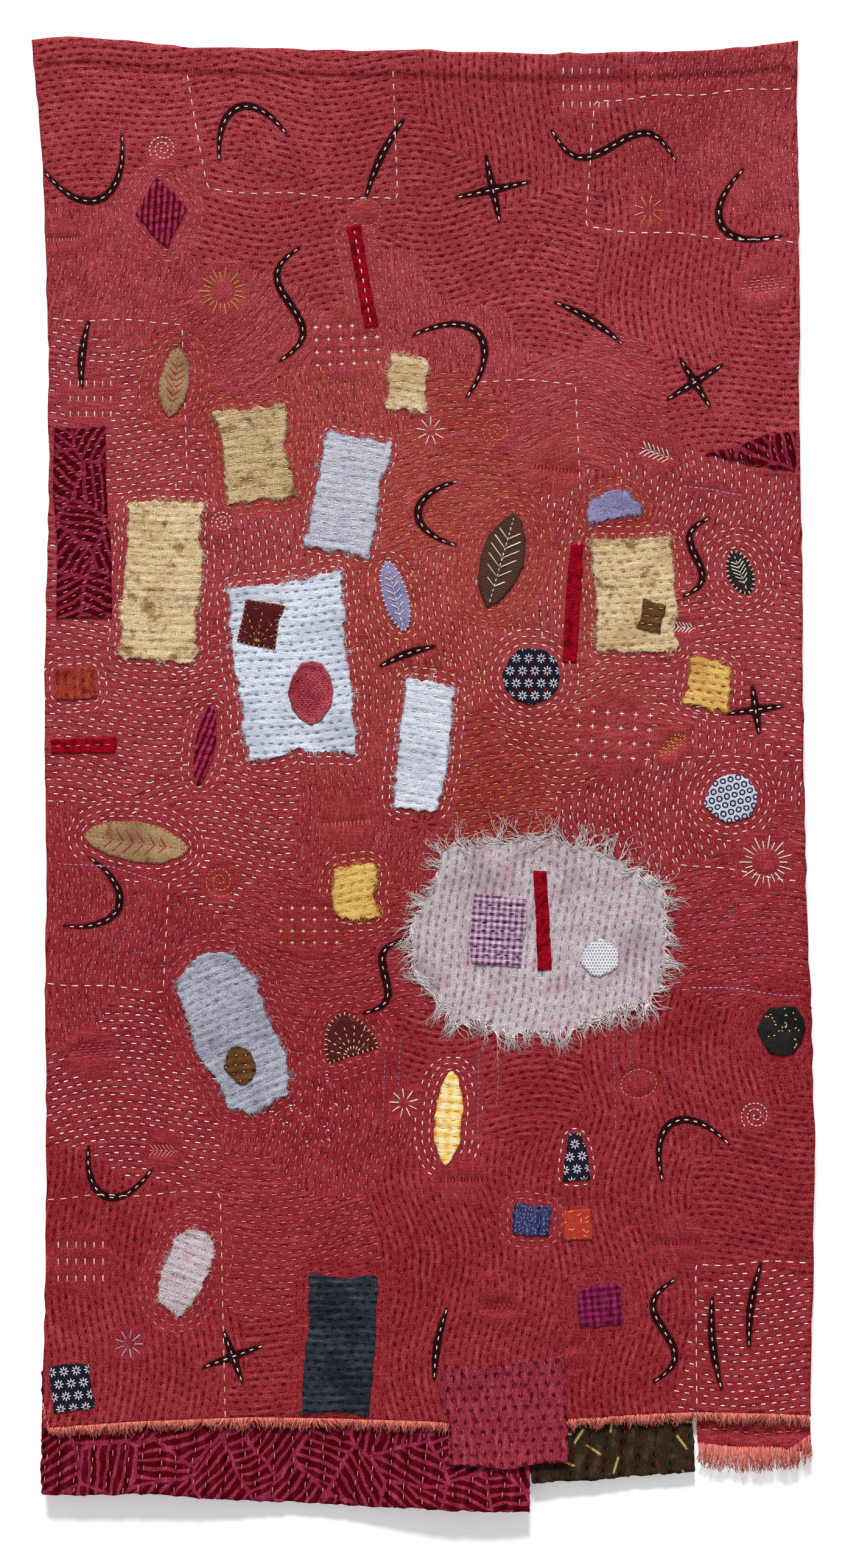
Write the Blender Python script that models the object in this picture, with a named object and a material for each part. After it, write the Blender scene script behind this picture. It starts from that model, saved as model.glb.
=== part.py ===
# Stitched and appliqued red linen hanging: one quilted cloth with a fringed hem, three strips that
# hang out below it, and patches of older cloth sewn onto its face.
# Metres, +Z up. The face looks along -Y. The origin is on the top edge, above the cloth's middle.
import math
import random

import bmesh
import bpy
from mathutils import Vector

HEM_LEVEL = -1.080
CLOTH_THICK = 0.0020
STRIP_THICK = 0.0012
PATCH_THICK = 0.0010
LAYER_GAP = 0.0003

# The hang is shaped on one lattice of triangles, so cloths that lie on each other share its facets.
CELL_ACROSS = 0.036
CELL_DOWN = 0.026
CUT_MERGE = 0.0003

# Slow bellies in the hanging cloth: how far forward, waves per metre across and down, and phase.
BELLIES = (
    # forward, across, down, phase
    (0.0024, 2.6, 0.9, 0.4),
    (0.0016, -1.7, 2.1, 1.9),
    (0.0011, 1.1, -3.4, 0.7),
)
# Both side edges curl forward a little, and what hangs below the hem flares forward in waves.
EDGE_CURL = 0.0025
HALF_WIDTH = 0.305
FLARE = 0.0100
FLARE_DROP = 0.072
FLARE_WAVE = 0.225

# The cloth's four edges, as the hanging shows them: pulled corners, a slack top, sides that drift.
TOP_EDGE = (
    # across, height
    (-0.309, 0.008), (-0.280, 0.011), (-0.248, 0.009), (-0.184, 0.003), (-0.120, 0.002),
    (-0.064, 0.000), (0.000, 0.000), (0.083, -0.003), (0.190, -0.001), (0.254, 0.003), (0.296, 0.008),
)
RIGHT_EDGE = (
    (0.295, -0.030), (0.296, -0.110), (0.297, -0.196), (0.296, -0.262), (0.298, -0.369),
    (0.300, -0.566), (0.302, -0.675), (0.305, -0.739), (0.3085, -0.857), (0.3075, -0.959), (0.306, -1.020),
)
HEM_EDGE = (
    (0.305, -1.077), (0.219, -1.075), (0.163, -1.077), (0.079, -1.083), (0.032, -1.083),
    (-0.069, -1.080), (-0.133, -1.079), (-0.223, -1.082), (-0.300, -1.087),
)
LEFT_EDGE = (
    (-0.2985, -1.004), (-0.297, -0.902), (-0.298, -0.760), (-0.297, -0.652), (-0.299, -0.502),
    (-0.295, -0.350), (-0.2955, -0.220), (-0.299, -0.104), (-0.304, -0.040),
)

# Strips that are sewn behind the hem and hang out below it. Each row is one corner or bend.
PRINT_STRIP = (
    (-0.301, -1.040), (-0.301, -1.139), (-0.223, -1.138), (-0.150, -1.143), (-0.067, -1.147),
    (0.005, -1.150), (0.084, -1.152), (0.084, -1.040),
)
BROWN_STRIP = (
    (0.072, -1.045), (0.086, -1.130), (0.130, -1.128), (0.158, -1.125), (0.2145, -1.121), (0.2125, -1.045),
)
RED_STRIP = (
    (0.2155, -1.046), (0.217, -1.099), (0.250, -1.103), (0.280, -1.102), (0.306, -1.107), (0.304, -1.046),
)

# Patches sewn on the face. Layer 1 lies on the cloth, layer 2 on another patch.
PATCHES = (
    # name, form, across, height, wide, tall, turn in degrees, layer, cloth
    ("plum_diamond", "diamond", -0.206, -0.128, 0.042, 0.060, 8, 1, "plum_print"),
    ("cream_frayed_small", "block", -0.012, -0.262, 0.030, 0.043, -6, 1, "cream_cloth"),
    ("khaki_leaf_tall", "leaf", -0.196, -0.262, 0.024, 0.056, -8, 1, "khaki_cloth"),
    ("tan_block", "block", -0.132, -0.318, 0.054, 0.074, 9, 1, "tan_cloth"),
    ("cream_tall", "block", -0.206, -0.418, 0.058, 0.126, -3, 1, "cream_cloth"),
    ("magenta_tall", "block", -0.269, -0.372, 0.042, 0.150, 1, 1, "magenta_print"),
    ("mist_block", "block", -0.060, -0.350, 0.050, 0.092, -12, 1, "mist_cloth"),
    ("pale_blue_large", "block", -0.104, -0.486, 0.088, 0.138, 5, 1, "pale_blue_cloth"),
    ("maroon_square", "block", -0.128, -0.452, 0.030, 0.034, -10, 2, "maroon_print"),
    ("rose_oval", "round", -0.088, -0.506, 0.036, 0.050, 0, 2, "rose_thread"),
    ("lilac_leaf", "leaf", -0.022, -0.430, 0.021, 0.058, 14, 1, "lilac_cloth"),
    ("pale_blue_strip", "block", 0.000, -0.548, 0.036, 0.100, -7, 1, "pale_blue_cloth"),
    ("striped_leaf", "leaf", -0.172, -0.548, 0.016, 0.066, -10, 1, "plum_print"),
    ("russet_square", "block", -0.274, -0.500, 0.030, 0.024, 3, 1, "russet_cloth"),
    ("ribbon_short", "ribbon", -0.268, -0.548, 0.052, 0.011, 2, 1, "crimson_velvet"),
    ("khaki_leaf_wide", "leaf", -0.226, -0.624, 0.032, 0.084, 82, 1, "khaki_cloth"),
    ("ribbon_left", "ribbon", -0.048, -0.178, 0.011, 0.080, 10, 1, "crimson_velvet"),
    ("dark_leaf", "leaf", 0.062, -0.402, 0.034, 0.078, -16, 1, "dark_brown_cloth"),
    ("flower_print", "round", 0.086, -0.492, 0.046, 0.046, 0, 1, "black_print"),
    ("cream_stained", "block", 0.166, -0.428, 0.062, 0.090, 4, 1, "cream_cloth"),
    ("brown_square", "block", 0.180, -0.446, 0.020, 0.024, -12, 2, "brown_cloth"),
    ("lilac_half_moon", "half_round", 0.150, -0.358, 0.046, 0.024, 6, 1, "lilac_cloth"),
    ("ribbon_right", "ribbon", 0.118, -0.436, 0.011, 0.094, -4, 1, "crimson_velvet"),
    ("yellow_left", "block", -0.053, -0.664, 0.032, 0.040, 9, 1, "yellow_cloth"),
    ("yellow_right", "block", 0.224, -0.500, 0.034, 0.038, -8, 1, "yellow_cloth"),
    ("black_leaf", "leaf", 0.250, -0.412, 0.020, 0.036, 20, 1, "black_cloth"),
    ("magenta_wedge", "wedge", 0.257, -0.316, 0.072, 0.034, 0, 1, "magenta_print"),
    ("ring_print", "round", 0.243, -0.590, 0.042, 0.038, 15, 1, "ring_print"),
    ("grey_rag_large", "rag", 0.090, -0.700, 0.196, 0.150, -8, 1, "grey_cloth"),
    ("gingham_patch", "block", 0.060, -0.694, 0.042, 0.056, -4, 2, "gingham_cloth"),
    ("crimson_sliver", "ribbon", 0.094, -0.686, 0.011, 0.078, 3, 2, "crimson_velvet"),
    ("lace_scrap", "round", 0.140, -0.716, 0.032, 0.028, 0, 2, "white_lace"),
    ("maroon_fan", "half_round", -0.060, -0.776, 0.040, 0.034, 18, 1, "maroon_print"),
    ("blue_rag", "rag", -0.150, -0.772, 0.062, 0.132, 24, 1, "blue_grey_cloth"),
    ("brown_oval", "round", -0.144, -0.800, 0.024, 0.032, 10, 2, "brown_cloth"),
    ("yellow_check_leaf", "leaf", 0.020, -0.842, 0.022, 0.074, -4, 1, "yellow_check"),
    ("dark_disc", "round", 0.283, -0.772, 0.038, 0.040, 0, 1, "black_cloth"),
    ("print_tall", "wedge_up", 0.120, -0.872, 0.024, 0.036, 5, 1, "black_print"),
    ("navy_square", "block", 0.086, -0.922, 0.028, 0.026, -3, 1, "navy_print"),
    ("red_gold_square", "block", 0.122, -0.926, 0.022, 0.024, 4, 1, "red_gold_print"),
    ("plaid_square", "block", 0.140, -0.990, 0.034, 0.032, 6, 1, "plaid_cloth"),
    ("grey_rag_small", "rag", -0.186, -0.962, 0.036, 0.066, -24, 1, "grey_cloth"),
    ("charcoal_block", "block", -0.066, -1.020, 0.052, 0.108, -2, 1, "charcoal_cloth"),
    ("print_corner", "block", -0.276, -1.054, 0.032, 0.036, 5, 1, "black_print"),
    ("dotted_patch", "block", 0.066, -1.074, 0.096, 0.080, 3, 1, "dotted_print"),
)

# How far each form's outline wanders from even, as a share of its smaller side.
UNEVEN = {
    "block": 0.050,
    "ribbon": 0.060,
    "diamond": 0.030,
    "leaf": 0.020,
    "round": 0.040,
    "half_round": 0.040,
    "wedge": 0.030,
    "wedge_up": 0.040,
    "rag": 0.060,
}

# Outlines with straight sides, as corners in half widths and half heights, anticlockwise.
CORNERS = {
    "diamond": ((0, -1), (0.5, -0.5), (1, 0), (0.5, 0.5), (0, 1), (-0.5, 0.5), (-1, 0), (-0.5, -0.5)),
    "wedge": ((1, -1), (1, 0), (1, 1), (0.35, 0.65), (-0.3, 0.25), (-1, -0.15), (0.1, -0.6)),
    "wedge_up": ((-1, -1), (1, -1), (0.8, 0), (0.35, 1), (-0.35, 1), (-0.7, 0)),
    "block": (
        (-1, -1), (0, -1), (1, -1), (1, -0.33), (1, 0.33),
        (1, 1), (0, 1), (-1, 1), (-1, 0.33), (-1, -0.33),
    ),
    "ribbon": ((-1, -1), (1, -1), (1, 0), (1, 1), (-1, 1), (-1, 0)),
}
ROUND_POINTS = 12
RAG_POINTS = 16
HALF_ROUND_POINTS = 10
RAG_SQUARENESS = 0.72
LEAF_POINTEDNESS = 1.25

# Fringes: how many locks, their mean length, and how far their lengths and tips wander.
HEM_FRINGE = {"locks": 128, "long": 0.0085, "wander": 0.0030, "lean": 0.0013}
RED_STRIP_FRINGE = {"locks": 34, "long": 0.0175, "wander": 0.0035, "lean": 0.0008}
RAG_FRINGE = {"locks": 74, "long": 0.0110, "wander": 0.0060, "lean": 0.0020}
ROOT_STRIP = 0.0024
LOCK_THICK = 0.0012
TIP_SHARE = 0.45

# Cloth colours, as linear red, green and blue, and roughness.
CLOTHS = {
    "red_linen": (0.330, 0.028, 0.040, 0.90),
    "salmon_fringe": (0.640, 0.130, 0.105, 0.90),
    "magenta_print": (0.170, 0.006, 0.030, 0.85),
    "brown_cloth": (0.036, 0.024, 0.018, 0.90),
    "cream_cloth": (0.600, 0.440, 0.260, 0.92),
    "tan_cloth": (0.400, 0.240, 0.100, 0.92),
    "khaki_cloth": (0.240, 0.150, 0.055, 0.92),
    "mist_cloth": (0.330, 0.350, 0.420, 0.92),
    "pale_blue_cloth": (0.560, 0.600, 0.680, 0.90),
    "grey_cloth": (0.330, 0.310, 0.330, 0.92),
    "blue_grey_cloth": (0.240, 0.290, 0.360, 0.92),
    "lilac_cloth": (0.190, 0.180, 0.400, 0.90),
    "yellow_cloth": (0.720, 0.430, 0.060, 0.88),
    "yellow_check": (0.760, 0.560, 0.220, 0.88),
    "crimson_velvet": (0.300, 0.004, 0.014, 0.80),
    "plum_print": (0.120, 0.006, 0.024, 0.85),
    "maroon_print": (0.070, 0.006, 0.010, 0.88),
    "rose_thread": (0.420, 0.050, 0.080, 0.80),
    "russet_cloth": (0.290, 0.030, 0.020, 0.88),
    "dark_brown_cloth": (0.050, 0.028, 0.022, 0.92),
    "black_print": (0.010, 0.009, 0.018, 0.88),
    "black_cloth": (0.012, 0.011, 0.012, 0.90),
    "ring_print": (0.300, 0.300, 0.460, 0.88),
    "gingham_cloth": (0.300, 0.140, 0.240, 0.88),
    "white_lace": (0.620, 0.600, 0.640, 0.85),
    "navy_print": (0.022, 0.026, 0.100, 0.88),
    "red_gold_print": (0.380, 0.030, 0.024, 0.88),
    "plaid_cloth": (0.180, 0.014, 0.060, 0.88),
    "charcoal_cloth": (0.020, 0.028, 0.038, 0.92),
    "dotted_print": (0.300, 0.016, 0.050, 0.88),
}


def hang_depth(across, height):
    """Y of the cloth's middle at one place: smaller is further forward."""
    forward = sum(
        size * math.sin(2 * math.pi * (ways_across * across + ways_down * height) + phase)
        for size, ways_across, ways_down, phase in BELLIES
    )
    forward += EDGE_CURL * min(1.0, abs(across) / HALF_WIDTH) ** 6
    below = max(0.0, HEM_LEVEL - height) / FLARE_DROP
    wave = 0.55 + 0.45 * math.sin(2 * math.pi * across / FLARE_WAVE + 0.9)
    return -forward - FLARE * wave * below ** 2


def facet_depth(across, height):
    """hang_depth read from the flat triangles of the lattice, so that every cloth has the same facets."""
    column, right = divmod(across / CELL_ACROSS, 1)
    row, up = divmod(height / CELL_DOWN, 1)

    def corner(more_across, more_up):
        return hang_depth((column + more_across) * CELL_ACROSS, (row + more_up) * CELL_DOWN)

    if right + up <= 1:
        return corner(0, 0) * (1 - right - up) + corner(1, 0) * right + corner(0, 1) * up
    return corner(1, 1) * (right + up - 1) + corner(0, 1) * (1 - right) + corner(1, 0) * (1 - up)


def layer_back(layer):
    """How far in front of the cloth's middle a patch's back lies."""
    return CLOTH_THICK / 2 + LAYER_GAP + (layer - 1) * (PATCH_THICK + LAYER_GAP)


def lattice_planes(points):
    """(point, normal) of each lattice line that crosses the outline: columns, rows and diagonals."""
    across = [x for x, z in points]
    height = [z for x, z in points]
    for column in range(math.floor(min(across) / CELL_ACROSS), math.ceil(max(across) / CELL_ACROSS) + 1):
        yield Vector((column * CELL_ACROSS, 0, 0)), Vector((1, 0, 0))
    for row in range(math.floor(min(height) / CELL_DOWN), math.ceil(max(height) / CELL_DOWN) + 1):
        yield Vector((0, 0, row * CELL_DOWN)), Vector((0, 0, 1))
    steps = [x / CELL_ACROSS + z / CELL_DOWN for x, z in points]
    for step in range(math.floor(min(steps)), math.ceil(max(steps)) + 1):
        yield Vector((step * CELL_ACROSS, 0, 0)), Vector((1 / CELL_ACROSS, 0, 1 / CELL_DOWN)).normalized()


def closed_object(name, shape, cloth):
    """Finishes a bmesh as one object with its cloth's material."""
    bmesh.ops.recalc_face_normals(shape, faces=shape.faces)
    bmesh.ops.triangulate(shape, faces=shape.faces)
    mesh = bpy.data.meshes.new(name)
    shape.to_mesh(mesh)
    shape.free()
    mesh.shade_smooth()
    mesh.set_sharp_from_angle(angle=math.radians(50))
    mesh.materials.append(material(cloth))
    made = bpy.data.objects.new(name, mesh)
    bpy.context.scene.collection.objects.link(made)
    return made


def material(cloth):
    found = bpy.data.materials.get(cloth)
    if found:
        return found
    red, green, blue, roughness = CLOTHS[cloth]
    made = bpy.data.materials.new(cloth)
    made.use_nodes = True
    shader = made.node_tree.nodes["Principled BSDF"]
    shader.inputs["Base Color"].default_value = (red, green, blue, 1)
    shader.inputs["Roughness"].default_value = roughness
    shader.inputs["Metallic"].default_value = 0.0
    return made


def cut_cloth(name, outline, front, thick, cloth):
    """A cloth cut to the outline and hung on the lattice: front is how far its face stands forward."""
    shape = bmesh.new()
    shape.faces.new([shape.verts.new((x, 0, z)) for x, z in outline])
    for point, normal in lattice_planes(outline):
        bmesh.ops.bisect_plane(
            shape,
            geom=shape.verts[:] + shape.edges[:] + shape.faces[:],
            plane_co=point,
            plane_no=normal,
            dist=0.00002,
        )
    bmesh.ops.remove_doubles(shape, verts=shape.verts, dist=CUT_MERGE)
    bmesh.ops.triangulate(shape, faces=shape.faces)
    for vert in shape.verts:
        vert.co.y = facet_depth(vert.co.x, vert.co.z) - front
    grown = bmesh.ops.extrude_face_region(shape, geom=shape.faces[:])
    moved = [part for part in grown["geom"] if isinstance(part, bmesh.types.BMVert)]
    bmesh.ops.translate(shape, verts=moved, vec=(0, thick, 0))
    return closed_object(name, shape, cloth)


def turned(points, angle, across, height):
    cosine, sine = math.cos(math.radians(angle)), math.sin(math.radians(angle))
    return [(across + x * cosine - z * sine, height + x * sine + z * cosine) for x, z in points]


def power(value, exponent):
    """A sine or cosine drawn towards or away from 1, which keeps its sign."""
    return math.copysign(abs(value) ** exponent, value)


def even_outline(form):
    """The form's outline about its own centre, in half widths and half heights, anticlockwise."""
    if form in CORNERS:
        return CORNERS[form]
    if form == "half_round":
        turns = [math.pi * step / (HALF_ROUND_POINTS - 1) for step in range(HALF_ROUND_POINTS)]
        return [(math.cos(turn), 2 * math.sin(turn) - 1) for turn in turns]
    count = RAG_POINTS if form == "rag" else ROUND_POINTS
    turns = [2 * math.pi * step / count for step in range(count)]
    if form == "leaf":
        # Two bowed sides that meet in a point at either end.
        return [(power(math.sin(turn), LEAF_POINTEDNESS), -math.cos(turn)) for turn in turns]
    if form == "rag":
        # Between a round and a block, as torn cloth is.
        return [
            (power(math.cos(turn), RAG_SQUARENESS), power(math.sin(turn), RAG_SQUARENESS))
            for turn in turns
        ]
    return [(math.cos(turn), math.sin(turn)) for turn in turns]


def patch_outline(name, form, across, height, wide, tall, turn):
    """The form's outline in place, with its own uneven cut."""
    cut = random.Random(name)
    wander = UNEVEN[form] * min(wide, tall)
    uneven = [
        (x * wide / 2 + cut.uniform(-wander, wander), z * tall / 2 + cut.uniform(-wander, wander))
        for x, z in even_outline(form)
    ]
    return turned(uneven, turn, across, height)


def stations(path, locks):
    """Places along the path, two for each lock, each with the way out to its right."""
    pieces = list(zip(path, path[1:]))
    lengths = [math.dist(a, b) for a, b in pieces]
    ways = [Vector((bz - az, ax - bx)).normalized() for (ax, az), (bx, bz) in pieces]
    # At a bend the way out is drawn longer, so that the edges of the root strip stay parallel to the path.
    bends = [(before + after) / (1 + before.dot(after)) for before, after in zip(ways, ways[1:])]
    outs = [ways[0], *bends, ways[-1]]
    found = []
    for (start, end), length, out, next_out in zip(pieces, lengths, outs, outs[1:]):
        steps = 2 * max(1, round(locks * length / sum(lengths)))
        for step in range(steps):
            share = step / steps
            found.append((Vector(start).lerp(Vector(end), share), out.lerp(next_out, share)))
    return found


def fringe(name, path, facts, front, cloth):
    """A narrow root strip that follows the path, with a lock drawn out of every other stretch of it."""
    places = stations(path, facts["locks"])
    cut = random.Random(name)
    shape = bmesh.new()
    rows = []
    for away in (LAYER_GAP, LAYER_GAP + ROOT_STRIP):
        flat = [place + out * away for place, out in places]
        rows.append([shape.verts.new((x, facet_depth(x, z) - front, z)) for x, z in flat])
    inner, outer = rows
    for step in range(len(places) - 1):
        shape.faces.new((inner[step], outer[step], outer[step + 1], inner[step + 1]))
    grown = bmesh.ops.extrude_face_region(shape, geom=shape.faces[:])
    moved = [part for part in grown["geom"] if isinstance(part, bmesh.types.BMVert)]
    bmesh.ops.translate(shape, verts=moved, vec=(0, LOCK_THICK, 0))
    bmesh.ops.recalc_face_normals(shape, faces=shape.faces)
    roots = []
    for step in range(0, len(places) - 1, 2):
        edge = shape.edges.get((outer[step], outer[step + 1]))
        out = (places[step][1] + places[step + 1][1]).normalized()
        rim = next(face for face in edge.link_faces if abs(face.normal.y) < 0.5)
        roots.append((out, rim))
    for out, root in roots:
        reach = facts["long"] + cut.uniform(-1, 1) * facts["wander"]
        aside = Vector((-out.y, out.x)) * cut.uniform(-1, 1) * facts["lean"]
        lock = bmesh.ops.extrude_discrete_faces(shape, faces=[root])["faces"][0]
        middle = lock.calc_center_median()
        tip = Vector((middle.x, middle.z)) + out * reach + aside
        fall = facet_depth(*tip) - facet_depth(middle.x, middle.z)
        for vert in lock.verts:
            vert.co = Vector((tip.x, middle.y + fall, tip.y)) + (vert.co - middle) * TIP_SHARE
    return closed_object(name, shape, cloth)


def hem_path():
    """Left to right along the hem, so that the way out is down."""
    return list(reversed(HEM_EDGE))


def red_strip_path():
    """The strip's lower edge, left to right, starting clear of the brown strip beside it."""
    return [(0.221, -1.0995), *RED_STRIP[2:5]]


def main():
    for found in list(bpy.data.objects):
        bpy.data.objects.remove(found)
    half = CLOTH_THICK / 2
    main_outline = list(reversed(TOP_EDGE + RIGHT_EDGE + HEM_EDGE + LEFT_EDGE))
    cut_cloth("main_cloth", main_outline, half, CLOTH_THICK, "red_linen")
    near = -half - LAYER_GAP
    far = near - STRIP_THICK - LAYER_GAP
    cut_cloth("print_strip", PRINT_STRIP, near, STRIP_THICK, "magenta_print")
    cut_cloth("brown_strip", BROWN_STRIP, far, STRIP_THICK, "brown_cloth")
    cut_cloth("red_strip", RED_STRIP, far, STRIP_THICK, "red_linen")
    for name, form, across, height, wide, tall, turn, layer, cloth in PATCHES:
        outline = patch_outline(name, form, across, height, wide, tall, turn)
        cut_cloth(name, outline, layer_back(layer) + PATCH_THICK, PATCH_THICK, cloth)
        if name == "grey_rag_large":
            rag_path = outline + outline[:1]
    fringe("hem_fringe", hem_path(), HEM_FRINGE, LOCK_THICK / 2, "salmon_fringe")
    fringe("red_strip_fringe", red_strip_path(), RED_STRIP_FRINGE, far, "salmon_fringe")
    fringe("grey_rag_fringe", rag_path, RAG_FRINGE, layer_back(1) + LOCK_THICK, "grey_cloth")


main()
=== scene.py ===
# Looks of the stitched red linen hanging: cloths with woven, printed and quilted surfaces,
# thousands of hand stitches, frayed edges and fringes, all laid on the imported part.
import math

import bmesh
import bpy
import numpy as np
from mathutils import Matrix, Vector
from mathutils.bvhtree import BVHTree


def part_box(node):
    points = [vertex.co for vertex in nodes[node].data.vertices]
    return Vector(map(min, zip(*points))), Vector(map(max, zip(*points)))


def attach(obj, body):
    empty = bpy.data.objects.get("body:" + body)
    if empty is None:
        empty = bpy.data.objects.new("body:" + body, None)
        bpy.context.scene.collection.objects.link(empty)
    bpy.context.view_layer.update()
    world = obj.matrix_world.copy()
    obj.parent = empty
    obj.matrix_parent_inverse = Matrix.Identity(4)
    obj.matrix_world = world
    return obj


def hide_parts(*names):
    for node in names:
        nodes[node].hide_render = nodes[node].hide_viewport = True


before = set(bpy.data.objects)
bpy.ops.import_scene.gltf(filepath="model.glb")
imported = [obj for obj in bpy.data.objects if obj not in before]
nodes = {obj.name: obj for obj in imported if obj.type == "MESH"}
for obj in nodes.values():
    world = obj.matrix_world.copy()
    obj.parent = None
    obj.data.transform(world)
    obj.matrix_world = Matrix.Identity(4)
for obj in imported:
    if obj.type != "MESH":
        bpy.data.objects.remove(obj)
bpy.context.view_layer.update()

twoPi = 2 * math.pi
print("frame loaded:", len(nodes), "nodes")


# Maps: everything that lies on the hanging reads its depth from one grid of 1 mm cells.
mapSizes = {"left": -0.330, "low": -1.185, "wide": 0.660, "tall": 1.215, "cell": 0.001}
across = np.arange(mapSizes["left"], mapSizes["left"] + mapSizes["wide"], mapSizes["cell"])
upward = np.arange(mapSizes["low"], mapSizes["low"] + mapSizes["tall"], mapSizes["cell"])
mapX, mapZ = np.meshgrid(across, upward)


def pairs(x, z):
    return np.stack([x, z], 1)


def between(grid, col, row, eased=False):
    # a grid's value at places between its cells
    c, r = col.astype(int), row.astype(int)
    fc, fr = col - c, row - r
    if eased:
        fc, fr = fc * fc * (3 - 2 * fc), fr * fr * (3 - 2 * fr)
    low = grid[r, c] * (1 - fc) + grid[r, c + 1] * fc
    high = grid[r + 1, c] * (1 - fc) + grid[r + 1, c + 1] * fc
    return low * (1 - fr) + high * fr


def readMap(grid, x, z):
    col = np.clip((np.asarray(x) - across[0]) / mapSizes["cell"], 0, grid.shape[1] - 1.001)
    row = np.clip((np.asarray(z) - upward[0]) / mapSizes["cell"], 0, grid.shape[0] - 1.001)
    return between(grid, col, row)


def cellOf(x, z):
    # row and column of the nearest cell
    def nearest(at, line):
        cell = np.round((np.asarray(at) - line[0]) / mapSizes["cell"]).astype(int)
        return np.clip(cell, 0, len(line) - 1)

    return nearest(z, upward), nearest(x, across)


def windowOf(line, margin):
    # the map's cells round a line
    r0, c0 = cellOf(line[:, 0].min() - margin, line[:, 1].min() - margin)
    r1, c1 = cellOf(line[:, 0].max() + margin, line[:, 1].max() + margin)
    return slice(int(r0), int(r1) + 1), slice(int(c0), int(c1) + 1)


def blurred(grid, spread):
    # spread is in cells
    reach = max(1, int(spread * 2.6))
    taps = np.exp(-0.5 * (np.arange(-reach, reach + 1) / spread) ** 2)
    taps /= taps.sum()
    for axis in (0, 1):
        edge = [(0, 0), (0, 0)]
        edge[axis] = (reach, reach)
        wide = np.pad(grid, edge, mode="edge")
        size = grid.shape[axis]
        grid = sum(tap * np.take(wide, range(k, k + size), axis) for k, tap in enumerate(taps))
    return grid


def cloudy(cellWide, cellTall, seed):
    # smooth noise from -1 to 1, with clouds of the given size in metres
    cols, rows = int(mapSizes["wide"] / cellWide) + 4, int(mapSizes["tall"] / cellTall) + 4
    coarse = np.random.default_rng(seed).uniform(-1, 1, (rows, cols))
    return between(coarse, (mapX - across[0]) / cellWide, (mapZ - upward[0]) / cellTall, True)


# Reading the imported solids: the outline of a cloth's face, and the depth of the hang.
def numbersOf(items, key, wide, kind=float):
    values = np.empty(len(items) * wide, dtype=kind)
    items.foreach_get(key, values)
    return values.reshape(-1, wide) if wide > 1 else values


def flatTriangles(node):
    mesh = nodes[node].data
    mesh.calc_loop_triangles()
    return numbersOf(mesh.vertices, "co", 3), numbersOf(mesh.loop_triangles, "vertices", 3, int)


def shoelace(points):
    x, z = np.asarray(points).T
    return 0.5 * float(np.sum(x * np.roll(z, -1) - np.roll(x, -1) * z))


def outlineOf(node):
    # the loop round the face of a cloth, as (x, z) points, anticlockwise from the front
    places, corners = flatTriangles(node)
    places, merged = np.unique(np.round(places, 5), axis=0, return_inverse=True)
    corners = merged.reshape(-1)[corners]
    a, b, c = (places[corners[:, k]] for k in range(3))
    normal = np.cross(b - a, c - a)
    normal /= np.maximum(np.linalg.norm(normal, axis=1, keepdims=True), 1e-12)
    face = corners[normal[:, 1] < -0.7]
    runs = {(int(t[k]), int(t[(k + 1) % 3])) for t in face for k in range(3)}
    after = {start: end for start, end in runs if (end, start) not in runs}
    loops = []
    while after:
        here = next(iter(after))
        loop = []
        while here in after:
            loop.append(here)
            here = after.pop(here)
        loops.append(loop)
    points = places[max(loops, key=len)][:, [0, 2]]
    return points if shoelace(points) > 0 else points[::-1]


def spaced(points, step, closed=True):
    # the same line with points at even steps
    points = np.asarray(points, float)
    if closed:
        points = np.vstack([points, points[:1]])
    length = np.concatenate([[0], np.cumsum(np.linalg.norm(np.diff(points, axis=0), axis=1))])
    marks = np.linspace(0, length[-1], max(2, int(round(length[-1] / step))) + 1)
    line = pairs(*(np.interp(marks, length, points[:, k]) for k in (0, 1)))
    return line[:-1] if closed else line


def filled(points):
    # the map's cells that lie inside an outline, by the even-odd rule
    window = windowOf(points, 0.002)
    x, z = mapX[window], mapZ[window]
    found = np.zeros(x.shape, bool)
    for (ax, az), (bx, bz) in zip(points, np.roll(points, -1, axis=0)):
        if az != bz:
            found ^= ((az > z) != (bz > z)) & (x < (bx - ax) * (z - az) / (bz - az) + ax)
    whole = np.zeros(mapX.shape, bool)
    whole[window] = found
    return whole


hangSizes = {"clothHalf": 0.0010, "stripFront": 0.0013, "farStripFront": 0.0028, "sample": 0.006, "smooth": 9}


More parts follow.
